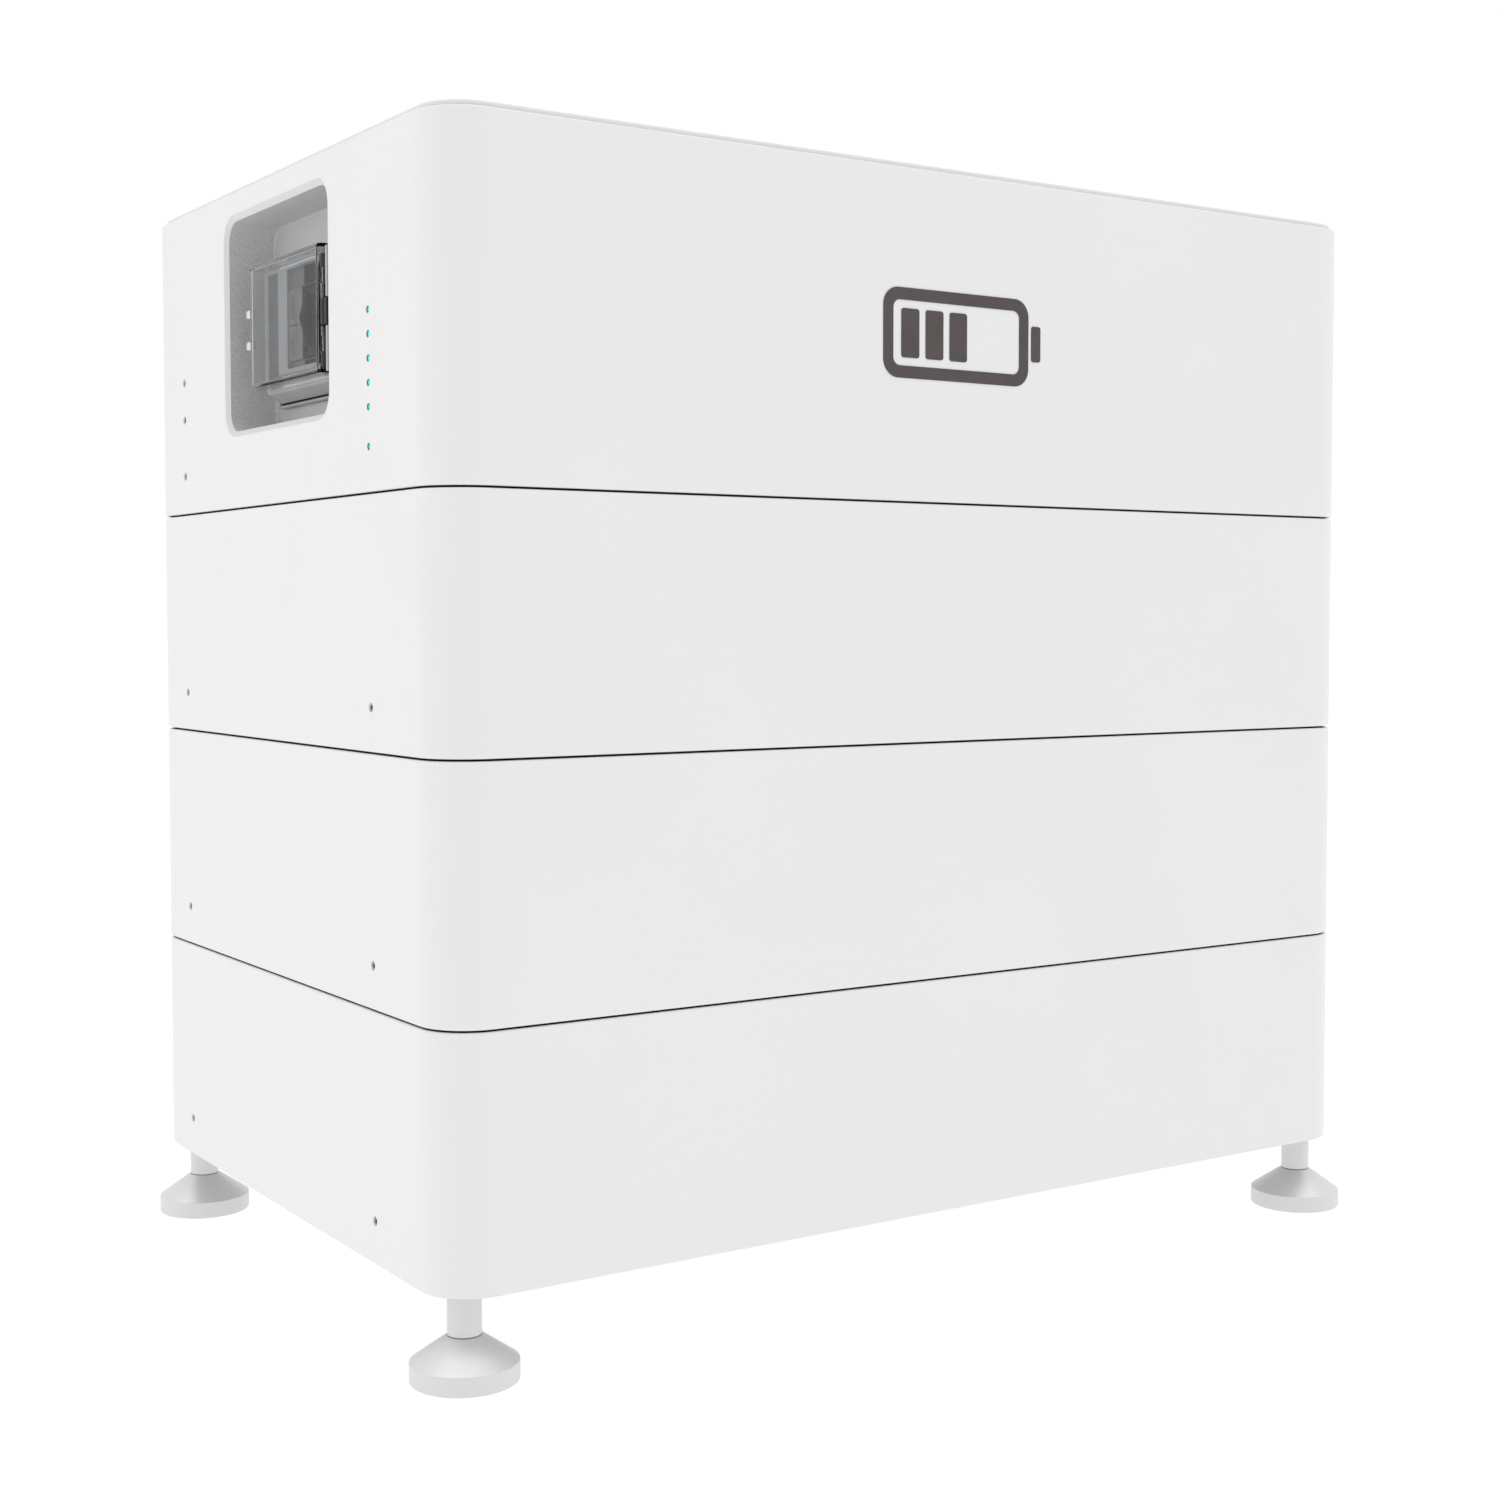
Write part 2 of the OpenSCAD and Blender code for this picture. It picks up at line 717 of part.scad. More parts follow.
module breaker_body() {
    slot = 15;
    color("dimgray") left_side(0, hood_z) difference() {
        union() {
            box([breaker_face, recess_depth + 5], [-bump_y, bump_y], [-poles_h / 2, poles_h / 2]);
            box([recess_depth + recess_wall, breaker_back], [-42.5, 42.5], [-poles_h / 2, poles_h / 2]);
        }
        translate([toggle_depth, toggle_y, 0]) {
            translate([0, 0, -slot]) cylinder(r = toggle_r + 0.4, h = 2 * slot);
            box([-toggle_depth, 0], [-toggle_slot, toggle_slot], [-slot, slot]);
            translate([0, 0, -slot - 2]) cylinder(r = trunnion_r + running_gap, h = 2 * slot + 4);
        }
        for (z = [-9, 9], y = [-34, 34]) translate([0, y, z])
            inward(3, recess_depth, recess_depth + 12);
    }
}

module breaker_toggle() {
    slot = 14.6;
    color("black") left_side(0, hood_z) translate([toggle_depth, toggle_y, 0]) {
        translate([0, 0, -slot]) cylinder(r = toggle_r, h = 2 * slot);
        translate([0, 0, -slot - 2]) cylinder(r = trunnion_r, h = 2 * slot + 4);
        rotate(toggle_rest) {
            for (z = [-9, 9]) box([-toggle_reach, 0], [-2.3, 2.3], [z - 3.5, z + 3.5]);
            box([-toggle_reach, -toggle_reach + 5], [-1.6, 1.6], [-9, 9]);
        }
    }
}

module led_light_pipes() {
    color("cyan") for (z = led_z) left_side(led_y, z) inward(led_d / 2, 0.8, 6);
}

// ---- connector window ----

module connector_window_frame() {
    color("white") right_side(0, window_z) window_frame();
}

module connector_recess_tray() {
    color("darkgray") right_side(0, window_z) recess_walls();
}

module connector_recess_back() {
    color("darkgray") difference() {
        right_side(0, window_z) recess_back();
        for (s = SOCKETS) right_side(s[0], window_z + s[1])
            inward(socket_r - 2 + 0.2, recess_depth - 1, recess_depth + 3);
        for (p = PORTS) right_side(p[0], window_z + p[1])
            box([recess_depth - 1, recess_depth + 3], [-port_w / 2 - 0.2, port_w / 2 + 0.2],
                [-port_h / 2 - 0.2, port_h / 2 + 0.2]);
        right_side(stud_at[0], window_z + stud_at[1])
            inward(stud_r + 0.2, recess_depth - 1, recess_depth + 3);
        right_side(button_at[0], window_z + button_at[1])
            inward(button_r + 0.3, recess_depth - 1, recess_depth + 3);
    }
}

module dc_sockets() {
    color("orangered") for (s = SOCKETS) right_side(s[0], window_z + s[1]) difference() {
        union() {
            inward(socket_r, socket_front, recess_depth);
            inward(socket_r - 2, recess_depth - 1, recess_depth + 12);
            inward(4, recess_depth + 11, recess_depth + 17);
        }
        inward(socket_bore_r, socket_front - 1, socket_front + socket_bore_len);
    }
}

module data_ports() {
    color("gray") for (p = PORTS) right_side(p[0], window_z + p[1]) difference() {
        box([port_front, recess_depth + 6], [-port_w / 2, port_w / 2], [-port_h / 2, port_h / 2]);
        box([port_front - 1, port_front + 13], [-5.9, 5.9], [-3, 4]);
        box([port_front - 1, port_front + 13], [-3, 3], [-5, -2.9]);
    }
}

module earth_stud() {
    color("gold") right_side(stud_at[0], window_z + stud_at[1]) {
        inward(stud_r, 10, recess_depth + 8);
        translate([recess_depth - 4, 0, 0]) rotate([0, 90, 0])
            cylinder(r = 5.8, h = 4, $fn = 6);
    }
}

module power_button() {
    color("whitesmoke") right_side(button_at[0], window_z + button_at[1]) {
        inward(button_r, recess_depth - 4, recess_depth + recess_wall + 1);
        inward(button_r + 2, recess_depth + recess_wall + 0.3, recess_depth + recess_wall + 1.8);
        inward(3, recess_depth + recess_wall + 1.7, recess_depth + recess_wall + 8);
    }
}

// ---- front badge: a plain battery symbol ----

module front_badge() {
    w = 92;
    h = 44;
    line = 6;
    color([0.3, 0.27, 0.26]) translate([-2.6, front_y, control_z + 82]) rotate([90, 0, 0])
        linear_extrude(0.4) {
            difference() {
                polygon(rounded(w, h, 9));
                polygon(rounded(w - 2 * line, h - 2 * line, 4));
            }
            translate([w / 2 + 2, -9]) square([6, 18]);
            for (i = [0:2]) translate([-w / 2 + line + 5 + i * 15, -h / 2 + line + 4])
                square([11, h - 2 * line - 8]);
        }
}

// ---- fasteners ----

module cover_screw() {
    difference() {
        inward(screw_d / 2, screw_recess, screw_len);
        translate([screw_recess - 1, 0, 0]) rotate([0, 90, 0]) cylinder(r = 1.3, h = 3, $fn = 6);
    }
}

module cover_screws() {
    color("dimgray") {
        for (i = [1:battery_modules], y = [screw_front_y, screw_rear_y]) {
            translate([-side_x, y, module_z(i) + screw_z]) cover_screw();
            translate([side_x, y, module_z(i) + screw_z]) mirror([1, 0, 0]) cover_screw();
        }
        for (z = control_screw_z) {
            left_side(screw_rear_y, z) cover_screw();
            right_side(screw_rear_y, z) cover_screw();
        }
        right_side(screw_front_y, screw_z) cover_screw();
        at_lid_screws(control_z + control_h + lid_rise - 0.4) lid_screw();
    }
}

module lid_screw() {
    difference() {
        union() {
            translate([0, 0, -lid_head_h]) cylinder(r = lid_head_r, h = lid_head_h);
            translate([0, 0, -14]) cylinder(r = lid_screw_r, h = 12);
        }
        translate([0, 0, -1.5]) cylinder(r = 1.5, h = 2, $fn = 6);
    }
}

// ---- levelling feet ----

module foot_nuts() {
    z0 = foot_h + tray_floor_z + tray_wall;
    color("silver") for (f = FEET) translate([f[0], f[1], z0]) difference() {
        cylinder(r = nut_r, h = nut_h);
        translate([0, 0, -1]) cylinder(r = rod_r + running_gap, h = nut_h + 2);
    }
}

module foot_stem(n) {
    z_stop = foot_h + tray_floor_z - 0.1;
    z_top = foot_h + tray_floor_z + tray_wall + nut_h + 2 + foot_travel;
    color("silver") translate([FEET[n - 1][0], FEET[n - 1][1], 0]) rotate_extrude()
        polygon([[0, spigot_z], [spigot_r, spigot_z], [spigot_r, cone_top_z + end_gap],
            [collar_r, cone_top_z + end_gap], [collar_r, z_stop], [rod_r, z_stop],
            [rod_r, z_top - 1], [rod_r - 1, z_top], [0, z_top]]);
}

module foot_pad(n) {
    r = pad_r;
    color("gainsboro") translate([FEET[n - 1][0], FEET[n - 1][1], 0]) rotate_extrude()
        polygon([[0, 0], [r - 0.6, 0], [r, 0.6], [r, pad_rim_h], [cone_top_r, cone_top_z],
            [spigot_r + running_gap, cone_top_z], [spigot_r + running_gap, spigot_z - end_gap],
            [0, spigot_z - end_gap]]);
}

// ---- nodes ----

for (i = [1:battery_modules]) {
    wrap_cover(i);
    chassis(i);
    cells(module_z(i));
    end_plates(module_z(i));
    busbars(module_z(i), link_x - link_w / 2);
    bms_board(i);
}
control_wrap_cover();
control_top_lid();
control_base_tray();
control_deck();
cells(control_z);  // control_cells
end_plates(control_z);  // control_end_plates
control_busbars();
control_boards();
breaker_window_frame();
breaker_recess_tray();
breaker_recess_back();
hood_base();
hood_cover();
hood_hinge_blocks();
hood_hinge_pins();
hood_finger_tabs();
breaker_body();
breaker_toggle();
led_light_pipes();
contactors();
dc_fuse();
connector_window_frame();
connector_recess_tray();
connector_recess_back();
dc_sockets();
data_ports();
earth_stud();
power_button();
front_badge();
stack_connectors();
seam_gaskets();
locating_pins();
cover_screws();
foot_nuts();
for (n = [1:4]) {
    foot_stem(n);
    foot_pad(n);
}
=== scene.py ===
"""The looks of a floor-standing home storage battery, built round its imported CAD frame."""

import math

import bmesh
import bpy
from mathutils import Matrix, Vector, geometry


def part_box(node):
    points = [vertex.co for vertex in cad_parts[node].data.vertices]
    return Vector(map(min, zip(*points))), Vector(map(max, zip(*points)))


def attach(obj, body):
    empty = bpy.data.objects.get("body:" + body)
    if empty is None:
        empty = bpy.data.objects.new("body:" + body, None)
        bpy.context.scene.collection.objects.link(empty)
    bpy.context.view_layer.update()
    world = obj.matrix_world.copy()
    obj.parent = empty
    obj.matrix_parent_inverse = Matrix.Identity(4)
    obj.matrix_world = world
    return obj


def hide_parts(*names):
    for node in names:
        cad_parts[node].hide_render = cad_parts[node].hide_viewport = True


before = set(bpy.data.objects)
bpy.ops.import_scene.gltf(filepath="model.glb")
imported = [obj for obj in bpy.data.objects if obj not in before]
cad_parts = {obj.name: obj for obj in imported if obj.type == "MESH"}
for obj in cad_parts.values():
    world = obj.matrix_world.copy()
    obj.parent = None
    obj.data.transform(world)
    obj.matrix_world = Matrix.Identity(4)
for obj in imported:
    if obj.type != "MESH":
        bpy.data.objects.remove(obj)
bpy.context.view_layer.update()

# Geometry is worked out in millimetres and scaled to metres as each piece is made
MM = 0.001
ROOT = "casing"


def box_mm(node):
    low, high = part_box(node)
    return low / MM, high / MM


WRAP_LOW, WRAP_HIGH = box_mm("control_wrap_cover")
WIDTH = WRAP_HIGH.x - WRAP_LOW.x
DEPTH = WRAP_HIGH.y - WRAP_LOW.y
CORNER_R = 25
WALL = 2
EDGE_R = 1.2
CORNER_STEPS = 20
EDGE_STEPS = 5

# Heights on the control module are above its bottom edge
CONTROL_Z = WRAP_LOW.z
WINDOW_Z = CONTROL_Z + 94
RECESS_W, RECESS_H, RECESS_R = 135, 108.4, 11
WINDOW_BEVEL = 2.8
RECESS_DEPTH = 27
RECESS_SHEET = 1.5
RECESS_BEND = 1
FLANGE = 8
BREAKER_HOLE = (46, 37, 0.8)

SCREW_R = 2.2
SCREW_FRONT_Y, SCREW_REAR_Y = -115.5, 135.2
SCREW_Z = 20.5
CONTROL_SCREW_Z = [20.5, 51.2, 71.5]
BRACKET_X, BRACKET_Z = 215, [52, 112]
BRACKET_R = 3.3
LED_R = 1.6
LED_Y = -115.8
LED_Z = [20.5] + [38.5 + 11 * i for i in range(5)]

# The breaker's hood and base, as depths behind the left face and heights about the hinge's middle
HOOD_Z = CONTROL_Z + 90.5
HOOD_FRONT, HOOD_BACK = 3, 16
HOOD_W, HOOD_H, HOOD_WALL = 100, 62, 1.8
HOOD_RISE = 1.3
BASE_Y = (-57.5, 54)
BASE_FRONT, BASE_BACK = 16.4, 26.95
BASE_HALF_H, BASE_FLARE = 31.9, 4
LEDGE_BACK, FLANGE_FRONT = 23.8, 25.5
RAIL_Z = (-38.3, -36.9)
HINGE_DEPTH, HINGE_Y = 6, -52.5
KNUCKLE_R, PIN_BORE_R = 2.6, 1.55
LUGS_Z = [(20, 26.5), (-7.5, 5.1), (-27.5, -20.5)]
EARS_Z = [(12.5, 19.6), (-20.1, -13)]
TABS_Z = [9.2, -7.1]
TAB_HALF, TAB_END = 2.05, 52.8
TOGGLE_DEPTH, TOGGLE_Y, TOGGLE_R, TOGGLE_REST = 21, -8, 5, 25

BADGE_X, BADGE_Z = -2.6, 82

# The connector recess, as (y, z) from the window's middle
SOCKETS = [(-38, 20), (-38, -20)]
PORTS = [(-4, 20), (16, 20)]
STUD = (6, -25)
BUTTON = (42, -5)


# ---- materials ----

class Finish:
    """A Principled material and the few node patterns that the object's surfaces share."""

    def __init__(self, name, colour, roughness, metallic=0.0, **sockets):
        self.material = bpy.data.materials.new(name)
        self.material.use_nodes = True
        self.tree = self.material.node_tree
        self.shader = self.tree.nodes["Principled BSDF"]
        self.put("Base Color", (*colour, 1.0))
        self.put("Roughness", roughness)
        self.put("Metallic", metallic)
        for socket, value in sockets.items():
            self.put(socket.replace("_", " "), value)
        self.coords = None
        self.height = None

    def put(self, socket, value):
        self.shader.inputs[socket].default_value = value

    def node(self, kind, **values):
        made = self.tree.nodes.new(kind)
        for key, value in values.items():
            if key in made.inputs:
                made.inputs[key].default_value = value
            else:
                setattr(made, key, value)
        return made

    def link(self, source, target):
        self.tree.links.new(source, target)

    def place(self, stretch=(1, 1, 1)):
        """The surface's own coordinates in metres, stretched."""
        if self.coords is None:
            self.coords = self.node("ShaderNodeTexCoord").outputs["Object"]
        if tuple(stretch) == (1, 1, 1):
            return self.coords
        mapping = self.node("ShaderNodeMapping", Scale=stretch)
        self.link(self.coords, mapping.inputs["Vector"])
        return mapping.outputs["Vector"]

    def noise(self, scale, detail=2.0, stretch=(1, 1, 1)):
        made = self.node("ShaderNodeTexNoise", Scale=scale, Detail=detail)
        self.link(self.place(stretch), made.inputs["Vector"])
        return made.outputs["Fac"]

    def ramp(self, fac, stops):
        made = self.node("ShaderNodeValToRGB")
        elements = made.color_ramp.elements
        while len(elements) < len(stops):
            elements.new(0.5)
        for element, (position, colour) in zip(elements, stops):
            element.position = position
            element.color = (*colour, 1.0)
        self.link(fac, made.inputs["Fac"])
        return made.outputs["Color"]

    def tint(self, fac, low, high, start=0.35, end=0.65):
        """The base colour runs from low to high over the pattern."""
        self.link(self.ramp(fac, [(start, low), (end, high)]), self.shader.inputs["Base Color"])
        return self

    def polish(self, fac, low, high, start=0.35, end=0.65):
        """The roughness runs from low to high over the pattern."""
        made = self.node("ShaderNodeMapRange")
        made.inputs["From Min"].default_value = start
        made.inputs["From Max"].default_value = end
        made.inputs["To Min"].default_value = low
        made.inputs["To Max"].default_value = high
        self.link(fac, made.inputs["Value"])
        self.link(made.outputs["Result"], self.shader.inputs["Roughness"])
        return self

    def relief(self, fac, strength, distance):
        """One layer of bump; further layers add to it."""
        made = self.node("ShaderNodeBump", Strength=strength, Distance=distance)
        self.link(fac, made.inputs["Height"])
        if self.height is not None:
            self.link(self.height, made.inputs["Normal"])
        self.height = made.outputs["Normal"]
        self.link(self.height, self.shader.inputs["Normal"])
        return self


def powder_coat(name, tone, warm=0.0):
    """White powder coat: a fine orange peel, and a trace of unevenness."""
    low = (tone - 0.006, tone - 0.006, tone - 0.008 - warm)
    high = (tone + 0.004, tone + 0.004, tone + 0.003 - warm)
    coat = Finish(name, (tone, tone, tone), 0.46, IOR=1.46)
    coat.tint(coat.noise(9, 3), low, high)
    coat.polish(coat.noise(160, 2), 0.42, 0.5)
    coat.relief(coat.noise(520, 1), 0.05, 0.0002)
    return coat.relief(coat.noise(1900, 1), 0.04, 0.0001)


def galvanised(name, tone):
    """Zinc-coated sheet: a fine grain over faint larger clouds."""
    zinc = Finish(name, (tone, tone, tone), 0.5, 0.25)
    grain = zinc.noise(1500, 2)
    zinc.tint(grain, (tone * 0.82,) * 3, (tone * 1.14,) * 3, 0.3, 0.7)
    zinc.polish(zinc.noise(160, 3), 0.44, 0.58)
    return zinc.relief(grain, 0.08, 0.0002)


def steel(name, tone, roughness=0.36, stretch=(1, 1, 14), metallic=1.0):
    """Brushed steel: long fine scratches along one direction."""
    metal = Finish(name, (tone, tone, tone * 1.01), roughness, metallic)
    lines = metal.noise(700, 3, stretch)
    metal.tint(lines, (tone * 0.92,) * 3, (tone * 1.04,) * 3, 0.3, 0.7)
    metal.polish(lines, roughness - 0.06, roughness + 0.08, 0.3, 0.7)
    return metal.relief(lines, 0.05, 0.0001)


def plastic(name, colour, roughness=0.45, grain=900, depth=0.08, sheen=0.5):
    """Moulded plastic: a spark-eroded grain and slightly uneven gloss."""
    moulded = Finish(name, colour, roughness, Specular_IOR_Level=sheen)
    dark = tuple(c * 0.93 for c in colour)
    light = tuple(min(1.0, c * 1.05) for c in colour)
    moulded.tint(moulded.noise(60, 3), dark, light)
    moulded.polish(moulded.noise(220, 2), roughness - 0.05, roughness + 0.07)
    return moulded.relief(moulded.noise(grain, 1), depth, 0.0001)


def clear_plastic(name, colour):
    """Clear polycarbonate with a grey tint, and faint flow marks from the mould."""
    clear = Finish(name, colour, 0.02, IOR=1.15, Transmission_Weight=1.0, Specular_IOR_Level=0.3)
    return clear.relief(clear.noise(25, 2, (1, 1, 0.3)), 0.03, 0.0003)


def glowing(name, colour, strength):
    """A lit light pipe, glowing a little unevenly."""
    lens = Finish(name, tuple(0.1 * c for c in colour), 0.5, Specular_IOR_Level=0.05)
    lens.put("Emission Color", (*colour, 1.0))
    glow = lens.noise(700, 1)
    made = lens.node("ShaderNodeMapRange")
    made.inputs["To Min"].default_value = strength * 0.85
    made.inputs["To Max"].default_value = strength * 1.15
    lens.link(glow, made.inputs["Value"])
    lens.link(made.outputs["Result"], lens.shader.inputs["Emission Strength"])
    return lens


def board_finish(name):
    """A circuit board: green solder mask with tracks under it."""
    board = Finish(name, (0.02, 0.16, 0.07), 0.35)
    tracks = board.noise(240, 1, (1, 6, 1))
    return board.tint(tracks, (0.015, 0.12, 0.05), (0.04, 0.25, 0.11), 0.46, 0.52)


def cell_wrap(name):
    """The blue film round a cell."""
    film = Finish(name, (0.03, 0.12, 0.32), 0.35)
    film.tint(film.noise(30, 3), (0.025, 0.1, 0.28), (0.04, 0.15, 0.38))
    return film.relief(film.noise(90, 2), 0.1, 0.0003)


def copper_finish(name):
    """Bare copper bar with a rolled grain and light tarnish."""
    bar = Finish(name, (0.72, 0.36, 0.2), 0.35, 1.0)
    bar.tint(bar.noise(120, 4, (6, 1, 1)), (0.6, 0.28, 0.15), (0.8, 0.42, 0.25))
    return bar.polish(bar.noise(300, 2), 0.28, 0.45)


WHITE = powder_coat("white_powder_coat", 0.86)
LID_WHITE = powder_coat("lid_powder_coat", 0.84)
# A darker copy of the white coat for the window bevels: painted shade.
FRAME_SHADED_WHITE = powder_coat("window_frame_shaded_coat", 0.74)
ZINC = galvanised("galvanised_sheet", 0.66)
CHASSIS = galvanised("chassis_sheet", 0.6)
FOOT = steel("turned_foot_metal", 0.74, 0.42, (1, 1, 30), 0.55)
FASTENER = steel("zinc_plated_steel", 0.45, 0.35, (1, 1, 1))
PIN_STEEL = steel("ground_pin_steel", 0.7, 0.25)
DARK_STEEL = steel("blackened_pin_steel", 0.08, 0.4)
BASE_GREY = plastic("light_grey_abs", (0.47, 0.475, 0.48), 0.4)
# Dark grey for the base's free side and the light pipes' hole walls: painted shade.
SHADE_GREY = plastic("painted_shade_grey_abs", (0.15, 0.152, 0.155), 0.45)
BREAKER_GREY = plastic("breaker_grey", (0.21, 0.214, 0.218), 0.5)
# Charcoal for the toggle's bay and the base's hinge side: painted shade.
BREAKER_SHADE = plastic("breaker_painted_shade_charcoal", (0.01, 0.01, 0.011), 0.6, sheen=0.12)
TOGGLE = plastic("toggle_black", (0.01, 0.01, 0.011), 0.45, sheen=0.2)
HINGE_BLACK = plastic("hinge_black", (0.012, 0.012, 0.013), 0.4)
BEZEL_GREY = plastic("bezel_grey_abs", (0.42, 0.425, 0.43), 0.4)
TAB_WHITE = plastic("tab_white", (0.88, 0.88, 0.88), 0.35)
RED_MARK = plastic("red_mark", (0.5, 0.03, 0.02), 0.4)
CLEAR = clear_plastic("smoky_clear_polycarbonate", (0.8, 0.81, 0.82))
CYAN = glowing("cyan_light", (0.04, 0.97, 0.95), 1.0)
PRINT = plastic("warm_grey_print", (0.075, 0.062, 0.06), 0.55, 1600, 0.05)
# Black rubber where gaps should read dark: painted shade in the base's slot, and on the module gaskets a
# real seal that also paints the seams' shade.
SHADE_RUBBER = plastic("black_rubber_painted_shade", (0.012, 0.012, 0.012), 0.75, 500, 0.2)
BOARD = board_finish("green_board")
CELL = cell_wrap("blue_cell_film")
COPPER = copper_finish("copper_bar")
CONTACTOR = plastic("contactor_black", (0.02, 0.02, 0.02), 0.5)
FUSE = plastic("fuse_ceramic", (0.7, 0.68, 0.58), 0.5)
ORANGE = plastic("orange_connector", (0.68, 0.15, 0.015), 0.4)
PORT_METAL = steel("port_shield", 0.55, 0.35)
BRASS = steel("brass_stud", 0.6, 0.3)
BRASS.tint(BRASS.noise(300, 2), (0.55, 0.38, 0.13), (0.68, 0.5, 0.2))
ALUMINIUM = steel("mill_aluminium", 0.78, 0.35, (1, 12, 1))


# ---- mesh building ----

def new_piece(name, bm, finish, body=ROOT, replaces=(), sharp=35):
    """Turns a bmesh in the row's frame, in millimetres, into a piece that rides on a body."""
    bmesh.ops.remove_doubles(bm, verts=bm.verts, dist=1e-4)
    bmesh.ops.recalc_face_normals(bm, faces=bm.faces)
    bmesh.ops.scale(bm, vec=(MM, MM, MM), verts=bm.verts)
    mesh = bpy.data.meshes.new(name)
    bm.to_mesh(mesh)
    bm.free()
    mesh.shade_smooth()
    mesh.set_sharp_from_angle(angle=math.radians(sharp))
    piece = bpy.data.objects.new(name, mesh)
    bpy.context.scene.collection.objects.link(piece)
    piece.data.materials.append(finish.material)
    normals = piece.modifiers.new("even_shading", "WEIGHTED_NORMAL")
    normals.keep_sharp = True
    normals.weight = 80
    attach(piece, body)
    if replaces:
        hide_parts(*replaces)
    return piece


def boolean(base, tool, operation):
    """Two closed bmeshes joined or cut; both are used up."""
    objects = []
    for bm in (base, tool):
        bmesh.ops.recalc_face_normals(bm, faces=bm.faces)
        mesh = bpy.data.meshes.new("work")
        bm.to_mesh(mesh)
        bm.free()
        objects.append(bpy.data.objects.new("work", mesh))
        bpy.context.scene.collection.objects.link(objects[-1])
    modifier = objects[0].modifiers.new("cut", "BOOLEAN")
    modifier.operation = operation
    modifier.solver = "EXACT"
    modifier.use_self = True
    modifier.object = objects[1]
    bpy.context.view_layer.update()
    result = bmesh.new()
    result.from_object(objects[0], bpy.context.evaluated_depsgraph_get())
    for made in objects:
        mesh = made.data
        bpy.data.objects.remove(made)
        bpy.data.meshes.remove(mesh)
    return result


def arc(cx, cy, r, start, end, steps):
    """Points on an arc in the plane, angles in degrees, both ends included."""
    angles = [math.radians(start + (end - start) * i / steps) for i in range(steps + 1)]
    return [(cx + r * math.cos(a), cy + r * math.sin(a)) for a in angles]


def rounded(w, h, r, steps=6):
    """A rectangle with rounded corners, counter-clockwise from its right side's top."""
    x, y = w / 2 - r, h / 2 - r
    corners = ((x, y, 0), (-x, y, 90), (-x, -y, 180), (x, -y, 270))
    return [p for cx, cy, a in corners for p in arc(cx, cy, r, a, a + 90, steps)]


def circle(r, steps):
    return arc(0, 0, r, 0, 360, steps)[:-1]


def moved(outline, x, y):
    return [(u + x, v + y) for u, v in outline]


def vertices(bm, points):
    return [bm.verts.new(p) for p in points]


def bridge(bm, a, b, skip=()):
    """Quads between two closed loops of vertices with the same count."""
    for i in range(len(a)):
        if i not in skip:
            j = (i + 1) % len(a)
            bm.faces.new((a[i], a[j], b[j], b[i]))


def holed_face(bm, outer, holes=()):
    """Fills a flat face inside outer, round the holes, all of them loops of vertices."""
    loops = [outer, *holes]
    corners = [v for loop in loops for v in loop]
    for triangle in geometry.tessellate_polygon([[v.co for v in loop] for loop in loops]):
        bm.faces.new([corners[i] for i in triangle])


def loft(bm, loops, capped=True):
    """Closed loops of points joined in turn, with flat caps on both ends."""
    rings = [vertices(bm, points) for points in loops]
    for a, b in zip(rings, rings[1:]):
        bridge(bm, a, b)
    if capped:
        holed_face(bm, rings[0])
        holed_face(bm, rings[-1])
    return rings


def turned(bm, profile, place, steps=48):
    """A profile of (radius, distance along the axis) turned about the axis of a place."""
    rings = []
    for r, along in profile:
        points = [(0, 0)] if r < 1e-6 else circle(r, steps)
        rings.append(vertices(bm, [place(u, v, along) for u, v in points]))
    for a, b in zip(rings, rings[1:]):
        if len(a) > 1 and len(b) > 1:
            bridge(bm, a, b)
        elif len(a) + len(b) > 2:
            tip, ring = (a[0], b) if len(a) == 1 else (b[0], a)
            for i in range(steps):
                bm.faces.new((tip, ring[i], ring[(i + 1) % steps]))


def softened(points, radius, steps=4):
    """Rounds the inner corners of an open profile, where there is room."""
    out = [points[0]]
    for before, here, after in zip(points, points[1:], points[2:]):
        corner = Vector(here)
        a, b = Vector(before) - corner, Vector(after) - corner
        reach = min(radius, a.length * 0.45, b.length * 0.45)
        start, end = corner + a.normalized() * reach, corner + b.normalized() * reach
        for i in range(steps + 1):
            t = i / steps
            out.append(tuple(start.lerp(corner, t).lerp(corner.lerp(end, t), t)))
    return [*out, points[-1]]


def soft_box(bm, low, high, r, segments=3):
    """A box with rounded edges."""
    low, high = Vector(map(min, low, high)), Vector(map(max, low, high))
    made = bmesh.ops.create_cube(bm, size=1)["verts"]
    bmesh.ops.scale(bm, vec=high - low, verts=made)
    bmesh.ops.translate(bm, vec=(low + high) / 2, verts=made)
    edges = list(dict.fromkeys(e for v in made for e in v.link_edges))
    bmesh.ops.bevel(bm, geom=edges, offset=r, offset_type="OFFSET", segments=segments,
                    profile=0.5, affect="EDGES", clamp_overlap=True)


class Side:
    """Places things on a flat side: depth runs inwards, u along it and z up, as in the frame."""

    def __init__(self, origin, along, inward):
        self.origin, self.along, self.inward = Vector(origin), Vector(along), Vector(inward)

    def at(self, depth, u, z):
        point = self.origin + self.along * u + self.inward * depth
        return (point.x, point.y, z)

    def loop(self, outline, depth, u=0.0, z=0.0):
        return [self.at(depth, u + a, z + b) for a, b in outline]

    def axis(self, u, z):
        """A place for turned(), with its axis running inwards at u and z."""
        return lambda a, b, along: self.at(along, u + a, z + b)

    def box(self, bm, depth, u, z, r, segments=3):
        soft_box(bm, self.at(depth[0], u[0], z[0]), self.at(depth[1], u[1], z[1]), r, segments)


